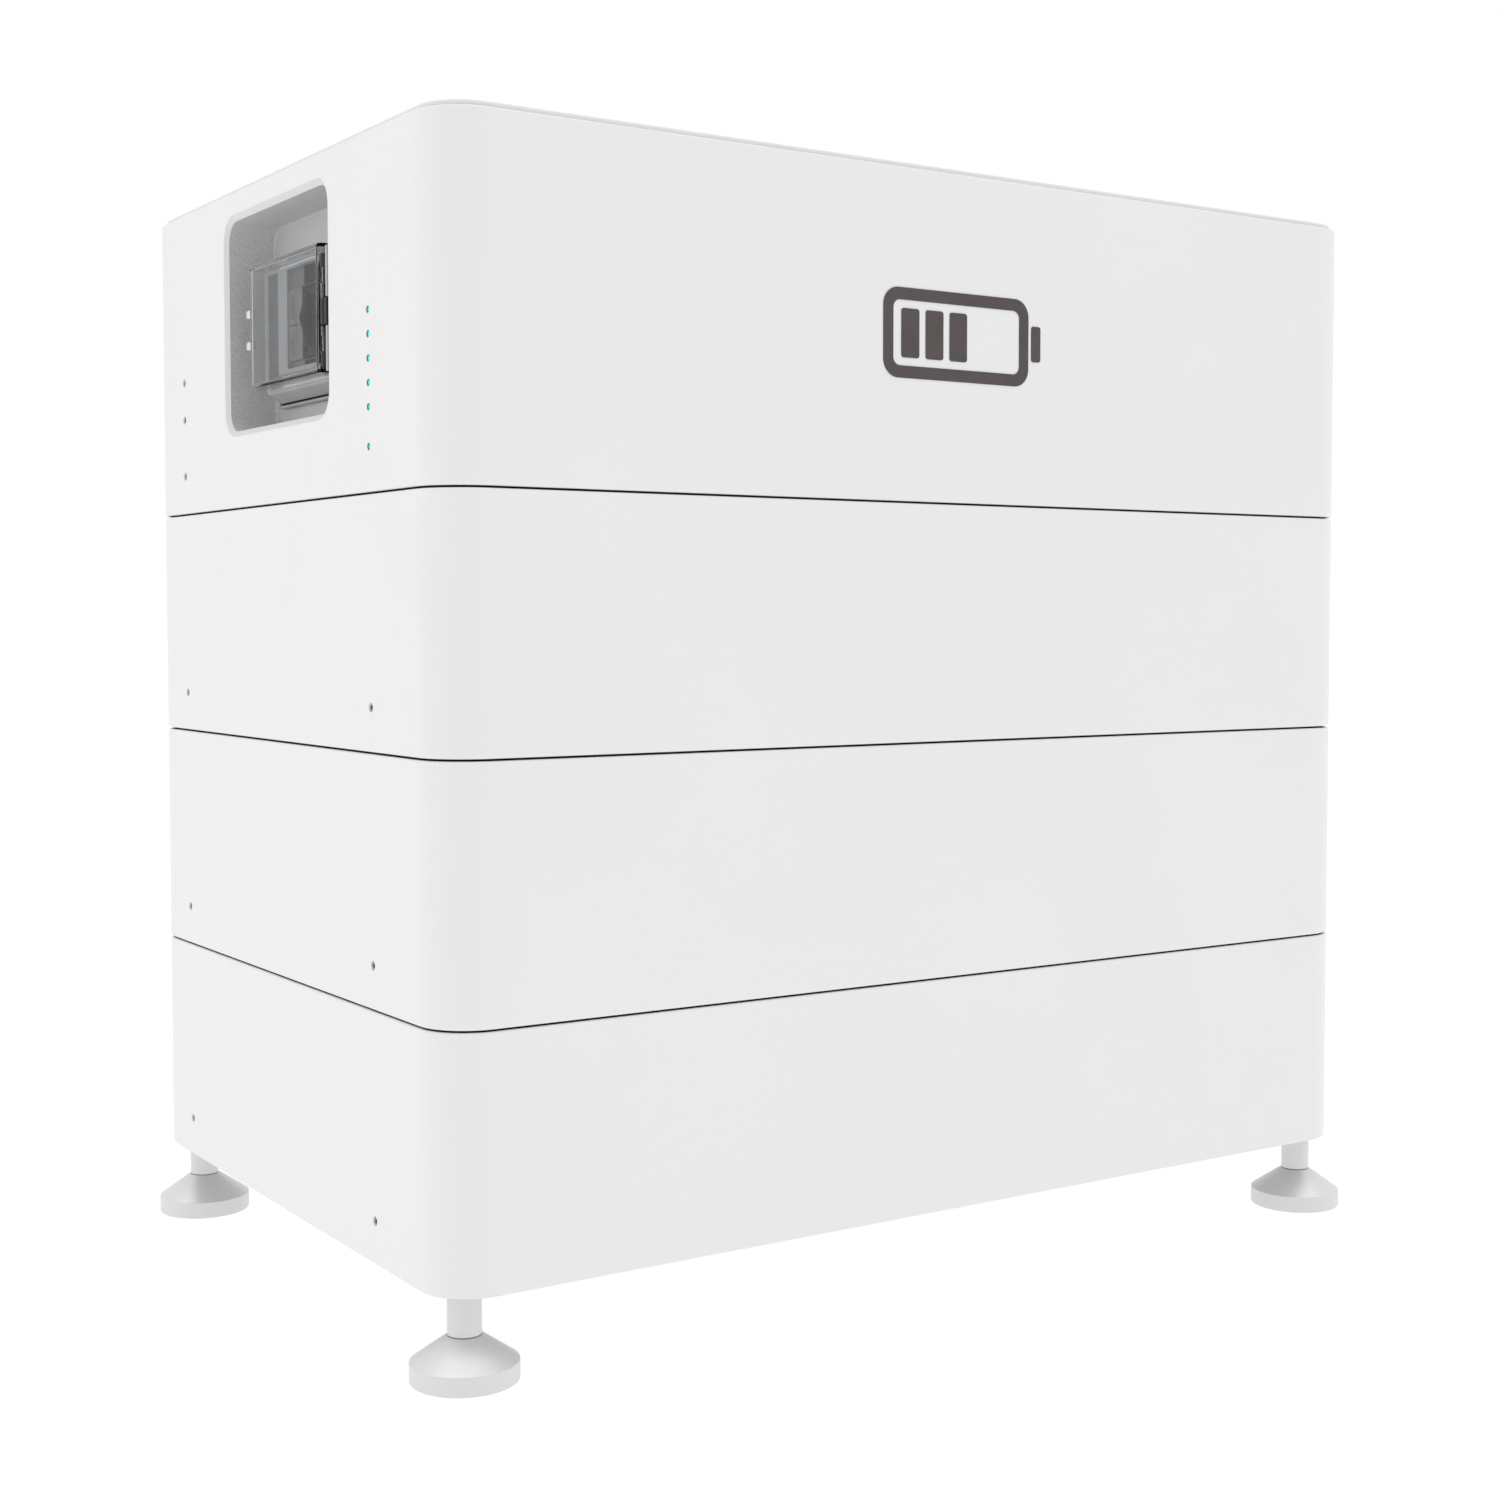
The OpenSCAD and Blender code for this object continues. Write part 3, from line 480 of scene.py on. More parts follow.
LEFT = Side((WRAP_LOW.x, 0, 0), (0, 1, 0), (1, 0, 0))
RIGHT = Side((WRAP_HIGH.x, 0, 0), (0, 1, 0), (-1, 0, 0))
FRONT = Side((0, WRAP_LOW.y, 0), (1, 0, 0), (0, 1, 0))
REAR = Side((0, WRAP_HIGH.y, 0), (1, 0, 0), (0, -1, 0))


# ---- wrap covers ----

def outline_ring(inset, z):
    """The module's outline, set in from the outer face, at a height."""
    outline = rounded(WIDTH - 2 * inset, DEPTH - 2 * inset, CORNER_R - inset, CORNER_STEPS)
    return [(x, y, z) for x, y in outline]


# Each straight wall starts at the last point of a corner, in the outline's order
WALLS = ("rear", "left", "front", "right")
STRAIGHT = {wall: (i + 1) * (CORNER_STEPS + 1) - 1 for i, wall in enumerate(WALLS)}


def drilled(side, u, z, r):
    """A drilled hole with a broken edge, as loops from the outer face to the inner."""
    steps = [(r + 0.25, 0), (r, 0.22), (r, WALL)]
    return [side.loop(circle(radius, 24), depth, u, z) for radius, depth in steps]


def window_loops(side, profile):
    """Outlines round a window, each as much larger than the recess and as deep as asked."""
    return [side.loop(rounded(RECESS_W + 2 * g, RECESS_H + 2 * g, RECESS_R + g, 12), d, 0, WINDOW_Z)
            for g, d in profile]


def window(side):
    """The window's opening in the cover, with a broken edge."""
    edge = WINDOW_BEVEL + 0.1
    return window_loops(side, [(edge + 0.06, 0), (edge, 0.06), (edge, WALL)])


def window_frame(name, side):
    """The bevelled frame that lines the window, in a darker copy of the white coat that paints the shade on
    the bevel.
    """
    edge = WINDOW_BEVEL + 0.07
    slope = [(edge, WALL), (edge, 0.06), (edge - 0.04, 0.02), (edge - 0.3, 0.06),
             (0.5, 1.72), (0.12, 1.86), (0, WALL)]
    bm = bmesh.new()
    rings = loft(bm, window_loops(side, slope), capped=False)
    bridge(bm, rings[-1], rings[0])
    new_piece(name + "_bevel", bm, FRAME_SHADED_WHITE, replaces=(name,), sharp=60)


def wrap_cover(name, holes):
    """A folded sheet ring with rolled edges, and holes in its straight walls."""
    low, high = box_mm(name)
    roll = arc(EDGE_R, EDGE_R, EDGE_R, 270, 180, EDGE_STEPS)
    profile = [(WALL, low.z)] + [(x, low.z + z) for x, z in roll]
    profile += [(x, high.z - z) for x, z in reversed(roll)] + [(WALL, high.z)]
    bm = bmesh.new()
    rings = [vertices(bm, outline_ring(inset, z)) for inset, z in profile]
    flat = EDGE_STEPS + 1
    skipped = {STRAIGHT[wall] for wall in holes}
    for k, (a, b) in enumerate(zip(rings, rings[1:])):
        bridge(bm, a, b, skipped if k == flat else ())
    bridge(bm, rings[-1], rings[0], skipped)
    for wall, loops in holes.items():
        i = STRAIGHT[wall]
        j = (i + 1) % len(rings[0])
        made = [[vertices(bm, ring) for ring in hole] for hole in loops]
        for lower, upper, end in ((rings[flat], rings[flat + 1], 0), (rings[-1], rings[0], -1)):
            holed_face(bm, [lower[i], lower[j], upper[j], upper[i]], [hole[end] for hole in made])
        for hole in made:
            for a, b in zip(hole, hole[1:]):
                bridge(bm, a, b)
    new_piece(name + "_shell", bm, WHITE, replaces=(name,), sharp=50)


def make_wraps():
    """The modules' covers with their screw holes, and the control module's with its windows too."""
    sides = {"left": LEFT, "right": RIGHT}
    for number in (1, 2, 3):
        name = f"module_{number}_wrap_cover"
        z = box_mm(name)[0].z + SCREW_Z
        wrap_cover(name, {wall: [drilled(side, y, z, SCREW_R) for y in (SCREW_FRONT_Y, SCREW_REAR_Y)]
                          for wall, side in sides.items()})
    holes = {}
    for wall, side in sides.items():
        screws = [drilled(side, SCREW_REAR_Y, CONTROL_Z + z, SCREW_R) for z in CONTROL_SCREW_Z]
        holes[wall] = [window(side), *screws]
    holes["left"] += [drilled(LEFT, LED_Y, CONTROL_Z + z, LED_R) for z in LED_Z]
    holes["right"].append(drilled(RIGHT, SCREW_FRONT_Y, CONTROL_Z + SCREW_Z, SCREW_R))
    holes["rear"] = [drilled(REAR, x, CONTROL_Z + z, BRACKET_R)
                     for x in (-BRACKET_X, BRACKET_X) for z in BRACKET_Z]
    wrap_cover("control_wrap_cover", holes)


# ---- recesses ----

def recess_tray(name, side, cutouts):
    """A pressed sheet tray behind a window, with cut-outs in its floor."""
    bm = bmesh.new()

    def ring(grow, depth):
        outline = rounded(RECESS_W + 2 * grow, RECESS_H + 2 * grow, RECESS_R + grow, 12)
        return vertices(bm, side.loop(outline, depth, 0, WINDOW_Z))

    def bend(r):
        """A bend between the walls and the floor."""
        return [ring(g, d) for g, d in arc(-RECESS_BEND, RECESS_DEPTH - RECESS_BEND, r, 0, 90, 4)]

    top = WALL + 0.05
    inside = [ring(0, top), *bend(RECESS_BEND)]
    outside = [ring(RECESS_SHEET, top + RECESS_SHEET), *bend(RECESS_BEND + RECESS_SHEET)]
    flange = [ring(FLANGE, top), ring(FLANGE, top + RECESS_SHEET)]
    front = [vertices(bm, side.loop(outline, RECESS_DEPTH)) for outline in cutouts]
    back = [vertices(bm, side.loop(outline, RECESS_DEPTH + RECESS_SHEET)) for outline in cutouts]
    for rings in (inside, outside):
        for a, b in zip(rings, rings[1:]):
            bridge(bm, a, b)
    bridge(bm, *flange)
    holed_face(bm, flange[0], [inside[0]])
    holed_face(bm, flange[1], [outside[0]])
    holed_face(bm, inside[-1], front)
    holed_face(bm, outside[-1], back)
    for a, b in zip(front, back):
        bridge(bm, a, b)
    new_piece(name + "_pressing", bm, ZINC, replaces=(name + "_tray", name + "_back"),
              sharp=40)


def make_recesses():
    """Both windows' frames, and the trays behind them with their cut-outs."""
    window_frame("breaker_window_frame", LEFT)
    window_frame("connector_window_frame", RIGHT)
    recess_tray("breaker_recess", LEFT, [moved(rounded(*BREAKER_HOLE), 0, HOOD_Z)])
    cutouts = [moved(circle(11.2, 40), y, WINDOW_Z + z) for y, z in SOCKETS]
    cutouts += [moved(rounded(16.4, 14.4, 0.6), y, WINDOW_Z + z) for y, z in PORTS]
    cutouts.append(moved(circle(3.2, 24), STUD[0], WINDOW_Z + STUD[1]))
    cutouts.append(moved(circle(8.3, 40), BUTTON[0], WINDOW_Z + BUTTON[1]))
    recess_tray("connector_recess", RIGHT, cutouts)


# ---- breaker, its base and its hood ----

def make_hood_base():
    """The moulded base: a ledge that flares above and below, a groove, a flange and a slotted rail."""
    mid_y = sum(BASE_Y) / 2
    w, h = BASE_Y[1] - BASE_Y[0], 2 * BASE_HALF_H
    flared = h + 2 * BASE_FLARE
    steps = [(w - 1.2, h - 1.2, 3.4, BASE_FRONT), (w - 0.35, h - 0.35, 3.8, 16.55), (w, h, 4, 16.9),
             (w, flared - 0.6, 4, 22.5), (w, flared, 4, 22.9), (w, flared, 4, 23.4),
             (w - 0.6, flared - 0.6, 3.7, LEDGE_BACK), (w - 8, h, 4, LEDGE_BACK),
             (w - 8, h, 4, FLANGE_FRONT), (w - 0.4, flared - 0.4, 3.8, FLANGE_FRONT),
             (w, flared, 4, FLANGE_FRONT + 0.2), (w, flared, 4, BASE_BACK)]
    bm = bmesh.new()
    loops = [LEFT.loop(rounded(a, b, r, 8), d, mid_y, HOOD_Z) for a, b, r, d in steps]
    rings = loft(bm, loops, capped=False)
    hole = [vertices(bm, LEFT.loop(rounded(*BREAKER_HOLE), d, 0, HOOD_Z)) for d in (BASE_FRONT, BASE_BACK)]
    holed_face(bm, rings[0], [hole[0]])
    holed_face(bm, rings[-1], [hole[1]])
    bridge(bm, *hole)
    for low, high in ((-29.9, -8), (5.6, 29.9)):
        LEFT.box(bm, (4.5, 17), (-57.5, -55.4), (HOOD_Z + low, HOOD_Z + high), 0.45)
    rail = (HOOD_Z + RAIL_Z[0], HOOD_Z + RAIL_Z[1])
    ledge_low = HOOD_Z - flared / 2
    LEFT.box(bm, (FLANGE_FRONT, BASE_BACK), BASE_Y, (rail[0], HOOD_Z - BASE_HALF_H), 0.3)
    LEFT.box(bm, (23, BASE_BACK), BASE_Y, rail, 0.45)
    LEFT.box(bm, (23, BASE_BACK), (BASE_Y[1] - 2, BASE_Y[1]), (rail[0], ledge_low + 0.6), 0.45)
    new_piece("hood_base_moulding", bm, BASE_GREY, replaces=("hood_base",))

    # A black strip in the slot under the ledge: painted shade.
    bm = bmesh.new()
    LEFT.box(bm, (FLANGE_FRONT - 0.9, FLANGE_FRONT), (BASE_Y[0] + 1, BASE_Y[1] - 2.2),
             (rail[1] - 0.2, ledge_low + 2), 0.2)
    new_piece("hood_base_slot_painted_shade", bm, SHADE_RUBBER)

    # A charcoal skin on the base's face, on the hinge side and above and below the toggle's bay: painted
    # shade.
    bm = bmesh.new()
    skin = (BASE_FRONT - 0.2, BASE_FRONT + 0.3)
    LEFT.box(bm, skin, (-55.2, -24.6), (HOOD_Z - 29.5, HOOD_Z + 29.5), 0.15, 2)
    for low, high in ((-21.3, -18.7), (18.7, 28.3)):
        LEFT.box(bm, skin, (-22.2, -2.1), (HOOD_Z + low, HOOD_Z + high), 0.15, 2)
    new_piece("hood_base_painted_shade_inlay", bm, BREAKER_SHADE)

    # A dark grey skin on the base's face, on the free side and above and below the light cheeks: painted
    # shade.
    bm = bmesh.new()
    LEFT.box(bm, skin, (29.8, 47.2), (HOOD_Z - 29.5, HOOD_Z + 29.5), 0.15, 2)
    for low, high in ((-21.3, -18.7), (18.7, 28.3)):
        LEFT.box(bm, skin, (-1.9, 16.8), (HOOD_Z + low, HOOD_Z + high), 0.15, 2)
    new_piece("hood_base_painted_shade_grey_inlay", bm, SHADE_GREY)


def make_escutcheon():
    """The frame round the breaker's nose: wide on the free side, thin on the other three."""
    front, back = 14.4, BASE_FRONT + 0.1
    outer = (54, 54, 2, 2.6, HOOD_Z + 3)
    inner = (39.4, 50, 1.2, -2.7, HOOD_Z + 3.5)
    section = [(outer, 0, back), (outer, 0, front + 0.5), (outer, -0.15, front + 0.15),
               (outer, -0.5, front), (inner, 0.4, front), (inner, 0.1, front + 0.15),
               (inner, 0, front + 0.5), (inner, 0, back)]
    loops = [LEFT.loop(rounded(w + 2 * grow, h + 2 * grow, r + grow, 6), d, y, z)
             for (w, h, r, y, z), grow, d in section]
    bm = bmesh.new()
    rings = loft(bm, loops, capped=False)
    bridge(bm, rings[-1], rings[0])
    new_piece("hood_base_escutcheon", bm, BEZEL_GREY)


def hood_profile(inset):
    """The hood seen from above as (depth, y): open at the back, with a large curve at its free edge."""
    front, y0, y1 = HOOD_FRONT + inset, -HOOD_W / 2 + inset, HOOD_W / 2 - inset
    free, hinge = 11 - inset, 3 - inset / 2
    return [(HOOD_BACK, y1), *arc(front + free, y1 - free, free, 90, 180, 14),
            *arc(front + hinge, y0 + hinge, hinge, 180, 270, 8), (HOOD_BACK, y0)]


def hood_skin(bm, inset, end_r):
    """One face of the hood's wall; returns its open edge at the back."""
    half = HOOD_H / 2 - inset
    turn = [math.radians(90 * i / 5) for i in range(6)]
    roll = [(end_r * (1 - math.sin(a)), half - end_r * (1 - math.cos(a))) for a in turn]
    levels = [(t, -z) for t, z in roll] + [(t, z) for t, z in reversed(roll)]
    levels.sort(key=lambda level: level[1])
    middle = HOOD_Z + HOOD_RISE
    rows = [vertices(bm, [LEFT.at(d, y, middle + z) for d, y in hood_profile(inset + t)])
            for t, z in levels]
    for a, b in zip(rows, rows[1:]):
        for i in range(len(a) - 1):
            bm.faces.new((a[i], a[i + 1], b[i + 1], b[i]))
    for row in (rows[0], rows[-1]):
        holed_face(bm, row)
    return [row[0] for row in rows] + [row[-1] for row in reversed(rows)]


def make_hood():
    """The clear hood, with knuckles for its pins and notches for the hinge blocks."""
    hood = bmesh.new()
    outer = hood_skin(hood, 0, 2)
    inner = hood_skin(hood, HOOD_WALL, 0.6)
    holed_face(hood, outer, [inner])
    tools = bmesh.new()
    for low, high in LUGS_Z:
        LEFT.box(tools, (4.8, 18), (-HOOD_W / 2 - 1, -HOOD_W / 2 + HOOD_WALL + 0.5),
                 (HOOD_Z + low - 0.5, HOOD_Z + high + 0.5), 0.3, 1)
    for z in TABS_Z:
        LEFT.box(tools, (5.45, 8.55), (46.4, TAB_END + 1),
                 (HOOD_Z + z - TAB_HALF - 0.05, HOOD_Z + z + TAB_HALF + 0.05), 0.1, 1)
    hood = boolean(hood, tools, "DIFFERENCE")
    ears = bmesh.new()
    knuckle = arc(HINGE_DEPTH, HINGE_Y, KNUCKLE_R, 60, 390, 24)
    for low, high in EARS_Z:
        loft(ears, [[LEFT.at(d, y, HOOD_Z + z) for d, y in knuckle] for z in (low, high)])
    hood = boolean(hood, ears, "UNION")
    bores = bmesh.new()
    for low, high in EARS_Z:
        bore = [(0, low - 1), (PIN_BORE_R, low - 1), (PIN_BORE_R, high + 1), (0, high + 1)]
        turned(bores, bore, hinge_axis, 24)
    hood = boolean(hood, bores, "DIFFERENCE")
    new_piece("hood_clear_shell", hood, CLEAR, "hood", ("hood_cover",))

    bm = bmesh.new()
    for z in TABS_Z:
        LEFT.box(bm, (5.5, 8.5), (46.5, TAB_END), (HOOD_Z + z - TAB_HALF, HOOD_Z + z + TAB_HALF), 0.4)
        for y in (50.6, 51.4, 52.2):
            LEFT.box(bm, (5.25, 5.7), (y - 0.2, y + 0.2), (HOOD_Z + z - 1.6, HOOD_Z + z + 1.6), 0.12, 2)
    new_piece("hood_grip_tabs", bm, TAB_WHITE, "hood", ("hood_finger_tabs",))


def hinge_axis(a, b, along):
    """A place for turned() on the hood's hinge."""
    return LEFT.at(HINGE_DEPTH + a, HINGE_Y + b, HOOD_Z + along)


def toggle_axis(a, b, along):
    """A place for turned() on the toggle's axis."""
    return LEFT.at(TOGGLE_DEPTH + a, TOGGLE_Y + b, HOOD_Z + along)


def make_hinge_blocks():
    """Black lugs that hold the hood's pins; the middle one also bridges the base's rim."""
    bm = bmesh.new()
    for low, high in LUGS_Z:
        z = (HOOD_Z + low, HOOD_Z + high)
        LEFT.box(bm, (HINGE_DEPTH, BASE_FRONT - 0.05), (HINGE_Y - KNUCKLE_R, -46), z, 0.5)
        barrel = [(0, low), (KNUCKLE_R, low), (KNUCKLE_R, high), (0, high)]
        turned(bm, softened(barrel, 0.4), hinge_axis, 32)
    z = (HOOD_Z + LUGS_Z[1][0], HOOD_Z + LUGS_Z[1][1])
    LEFT.box(bm, (4.1, BASE_FRONT - 0.05), (-57.5, HINGE_Y - 2.3), z, 0.5)
    new_piece("hood_hinge_mouldings", bm, HINGE_BLACK, replaces=("hood_hinge_blocks",))


# A breaker pole seen from above as (depth, y): a stepped light cheek, and a block round the toggle that is
# painted dark as its shade
LIGHT_CHEEK = [(75, 42.5), (28.6, 42.5), (28.6, 22.5), (17.4, 22.5), (16.8, 21.9), (16.8, 17.6),
               (15.3, 16.4), (15.3, 7.9), (15.7, 7.4), (15.7, 4), (15, 3.4), (15, -2.05),
               (28.6, -2.05), (28.6, -42.5), (75, -42.5)]
TOGGLE_BLOCK = [(28.5, -2.15), (15.2, -2.15), (15.2, -21.9), (15.8, -22.5), (28.5, -22.5)]


def two_poles(outline):
    """A profile raised into two poles side by side, with broken edges at their ends."""
    bm = bmesh.new()
    for low, high in ((-18, -0.15), (0.15, 18)):
        sections = [(0.35, low), (0, low + 0.35), (0, high - 0.35), (0.35, high)]
        loft(bm, [[LEFT.at(d + (inset if d < 28 else 0), y, HOOD_Z + z) for d, y in outline]
                  for inset, z in sections])
    return bm


def make_breaker():
    """Two poles side by side: light cheeks with status marks, and a bay for the toggle painted dark as
    shade.
    """
    grooves = bmesh.new()
    for z in (-9, 9):
        for y in (10.2, 11.6):
            LEFT.box(grooves, (14.5, 15.6), (y, y + 0.5), (HOOD_Z + z - 6.5, HOOD_Z + z + 6.5), 0.1, 1)
    bm = boolean(two_poles(LIGHT_CHEEK), grooves, "DIFFERENCE")
    new_piece("breaker_case", bm, BREAKER_GREY, replaces=("breaker_body",),
              sharp=25)

    # The toggle's bay is charcoal: painted shade.
    bay = bmesh.new()
    LEFT.box(bay, (13, TOGGLE_DEPTH), (TOGGLE_Y - 5.7, TOGGLE_Y + 5.7), (HOOD_Z - 15, HOOD_Z + 15), 0.6, 2)
    clear_r = TOGGLE_R + 0.4
    turned(bay, [(0, -15), (clear_r, -15), (clear_r, 15), (0, 15)], toggle_axis, 40)
    bm = boolean(two_poles(TOGGLE_BLOCK), bay, "DIFFERENCE")
    new_piece("breaker_toggle_bay_painted_shade", bm, BREAKER_SHADE, sharp=25)

    bm = bmesh.new()
    for z in (-9, 9):
        LEFT.box(bm, (15.1, 15.5), (13.3, 14.6), (HOOD_Z + z - 1.6, HOOD_Z + z + 1.2), 0.12, 2)
    new_piece("breaker_status_marks", bm, RED_MARK)


def make_toggle():
    """The twin toggle: a barrel, two levers and a bulging bar that ties them."""
    bm = bmesh.new()
    barrel = softened([(0, -16.6), (2, -16.6), (2, -14.6), (TOGGLE_R, -14.6),
                       (TOGGLE_R, 14.6), (2, 14.6), (2, 16.6), (0, 16.6)], 0.4)
    turned(bm, barrel, toggle_axis, 48)
    swing = math.radians(TOGGLE_REST)

    def place(reach, across, z):
        """A point on the lever: reach away from the axis, across its thickness."""
        return toggle_axis(-reach * math.cos(swing) - across * math.sin(swing),
                           -reach * math.sin(swing) + across * math.cos(swing), z)

    steps = 24
    loops = []
    for i in range(steps + 1):
        z = -13 + 26 * i / steps
        end = math.sqrt(max(0.0, 1 - (2 * i / steps - 1) ** 8))
        swell = 0.5 + 0.5 * math.cos(math.pi * min(1.0, abs(z - 1) / 9))
        half = (1.3 + 0.9 * swell) * (0.35 + 0.65 * end)
        low, high = 3.0, 8.8 + 3.7 * (0.4 + 0.6 * swell) * end
        outline = [(low, -half - 0.4), (high - half, -half),
                   *arc(high - half, 0, half, -90, 90, 8), (low, half + 0.4)]
        loops.append([place(a, b, z) for a, b in outline])
    loft(bm, loops)
    new_piece("breaker_twin_toggle", bm, TOGGLE, "breaker_switch", ("breaker_toggle",),
              50)

    bm = bmesh.new()
    turns = 14
    rings = []
    for i in range(turns + 1):
        angle = math.radians(-80 + 200 * i / turns)
        across, up = math.cos(angle), math.sin(angle)
        rings.append([place(9 + (1.5 + u) * across, 2 + v, 8.2 + (1.5 + u) * up)
                      for u, v in circle(0.32, 10)])
    loft(bm, rings)
    new_piece("breaker_lock_eye", bm, PIN_STEEL, "breaker_switch", sharp=60)


# ---- indicators and connectors ----

def make_indicators():
    """Domed light pipes, each in a grey collar that lines its hole, painting the shade on the hole's wall.
    """
    bm, collars = bmesh.new(), bmesh.new()
    dome = [(0, 0.4), (0.6, 0.43), (1.1, 0.52), (1.35, 0.65), (1.42, 0.8), (1.42, 6), (0, 6)]
    collar = [(1.43, 0.04), (1.59, 0.04), (1.59, 1.8), (1.43, 1.8), (1.43, 0.04)]
    for z in LED_Z:
        turned(bm, dome, LEFT.axis(LED_Y, CONTROL_Z + z), 24)
        turned(collars, collar, LEFT.axis(LED_Y, CONTROL_Z + z), 24)
    new_piece("led_lenses", bm, CYAN, replaces=("led_light_pipes",), sharp=60)
    new_piece("led_painted_shade_collars", collars, SHADE_GREY)


def make_connectors():
    """Keyed power sockets, shielded data ports, an earth stud and a dished button."""
    bm = bmesh.new()
    body = softened([(0, 24), (7, 24), (7, 10.6), (7.6, 10), (9.2, 10), (9.4, 11.4), (10.8, 11.4),
                     (11, 10), (12.4, 10), (13, 10.6), (13, 27)], 0.3, 3)
    body += [(11, 27), (11, 39), (4, 39), (4, 44), (0, 44)]
    for y, z in SOCKETS:
        turned(bm, body, RIGHT.axis(y, WINDOW_Z + z), 64)
        for k in range(18):
            a = math.radians(20 * k)
            turned(bm, [(0, 12), (0.55, 12.3), (0.55, 26.6), (0, 26.9)],
                   RIGHT.axis(y + 12.85 * math.cos(a), WINDOW_Z + z + 12.85 * math.sin(a)), 8)
    new_piece("dc_socket_mouldings", bm, ORANGE, replaces=("dc_sockets",))

    bm = bmesh.new()
    for y, z in SOCKETS:
        turned(bm, softened([(0, 14), (2.6, 14), (3, 15), (3, 24)], 0.4), RIGHT.axis(y, WINDOW_Z + z), 24)
    new_piece("dc_socket_contacts", bm, BRASS)

    ports = bmesh.new()
    cavities = bmesh.new()
    for y, z in PORTS:
        RIGHT.box(ports, (15, 33), (y - 8, y + 8), (WINDOW_Z + z - 7, WINDOW_Z + z + 7), 0.5)
        RIGHT.box(cavities, (14, 28), (y - 5.9, y + 5.9), (WINDOW_Z + z - 3, WINDOW_Z + z + 4), 0.15, 1)
        RIGHT.box(cavities, (14, 28), (y - 3, y + 3), (WINDOW_Z + z - 5, WINDOW_Z + z - 2.5), 0.15, 1)
    new_piece("data_port_shields", boolean(ports, cavities, "DIFFERENCE"), PORT_METAL,
              replaces=("data_ports",))
    bm = bmesh.new()
    for y, z in PORTS:
        for k in range(8):
            u = y - 3.57 + 1.02 * k
            RIGHT.box(bm, (16.5, 27), (u - 0.2, u + 0.2), (WINDOW_Z + z + 3.2, WINDOW_Z + z + 3.7), 0.08, 1)
    new_piece("data_port_contacts", bm, BRASS)

    bm = bmesh.new()
    place = RIGHT.axis(STUD[0], WINDOW_Z + STUD[1])
    thread = [(0, 10), (2.3, 10)]
    for k in range(22):
        thread += [(2.95, 10.5 + 0.5 * k), (2.5, 10.75 + 0.5 * k)]
    turned(bm, thread + [(2.95, 22), (2.95, 35), (0, 35)], place, 24)
    nut = [(4.9, 22.9), (5.75, 23.4), (5.75, 26.95)]
    turned(bm, [(2.9, 22.9), *nut, (2.9, 26.95)], place, 6)
    turned(bm, [(2.9, 21.7), (6.4, 21.7), (6.6, 21.9), (6.6, 22.8), (2.9, 22.8)], place, 40)
    new_piece("earth_stud_and_nut", bm, BRASS, replaces=("earth_stud",))

    bm = bmesh.new()
    dish = [(0, 23.9), (5.5, 23.6), (7, 23), (8, 23.8), (8, 28.8), (10, 28.8), (10, 30.3), (3, 30.3)]
    cap = [*softened(dish, 0.5), (3, 36.5), (0, 36.5)]
    turned(bm, cap, RIGHT.axis(BUTTON[0], WINDOW_Z + BUTTON[1]), 56)
    new_piece("power_button_cap", bm, TAB_WHITE, "power_button", ("power_button",))


# ---- badge ----

def make_badge():
    """A plain battery symbol: a rounded case with a nub, and three charge bars."""
    x, z = BADGE_X, CONTROL_Z + BADGE_Z
    bm = bmesh.new()
    outline = [vertices(bm, FRONT.loop(rounded(a, b, r, 10), d, x, z))
               for a, b, r, d in ((92, 44, 9, 0), (92, 44, 9, -0.35), (80, 32, 4, -0.35), (80, 32, 4, 0))]
    for a, b in zip(outline, outline[1:] + outline[:1]):
        bridge(bm, a, b)
    for u, v, w, h in ((51, 0, 6, 18), (-29.5, 0, 11, 24), (-14.5, 0, 11, 24), (0.5, 0, 11, 24)):
        loft(bm, [FRONT.loop(rounded(w, h, 1.4, 6), d, x + u, z + v) for d in (0, -0.35)])
    new_piece("battery_symbol_print", bm, PRINT, replaces=("front_badge",))


# ---- feet ----

THREAD_PITCH = 1.75
COLLAR_TOP = 41.9


def upright(x, y):
    """A place for turned(), with its axis straight up at x and y."""
    return lambda a, b, z: (x + a, y + b, z)


def thread_rings(place, top):
    """A screw thread as rings, from the collar to a chamfered end at a height."""
    sides, rows = 24, 6
    turn = [2 * math.pi * k / sides for k in range(sides)]
    rings = []
    for i in range(int((top - 1.2 - COLLAR_TOP) / THREAD_PITCH * rows) + 1):
        z = COLLAR_TOP + THREAD_PITCH * i / rows
        ring = []
        for a in turn:
            flank = 1.2 * math.cos(2 * math.pi * z / THREAD_PITCH - a)
            radius = 5.35 + 0.5 * max(-0.85, min(0.85, flank))
            ring.append(place(radius * math.cos(a), radius * math.sin(a), z))
        rings.append(ring)
    return [*rings, [place(4.6 * math.cos(a), 4.6 * math.sin(a), top) for a in turn]]


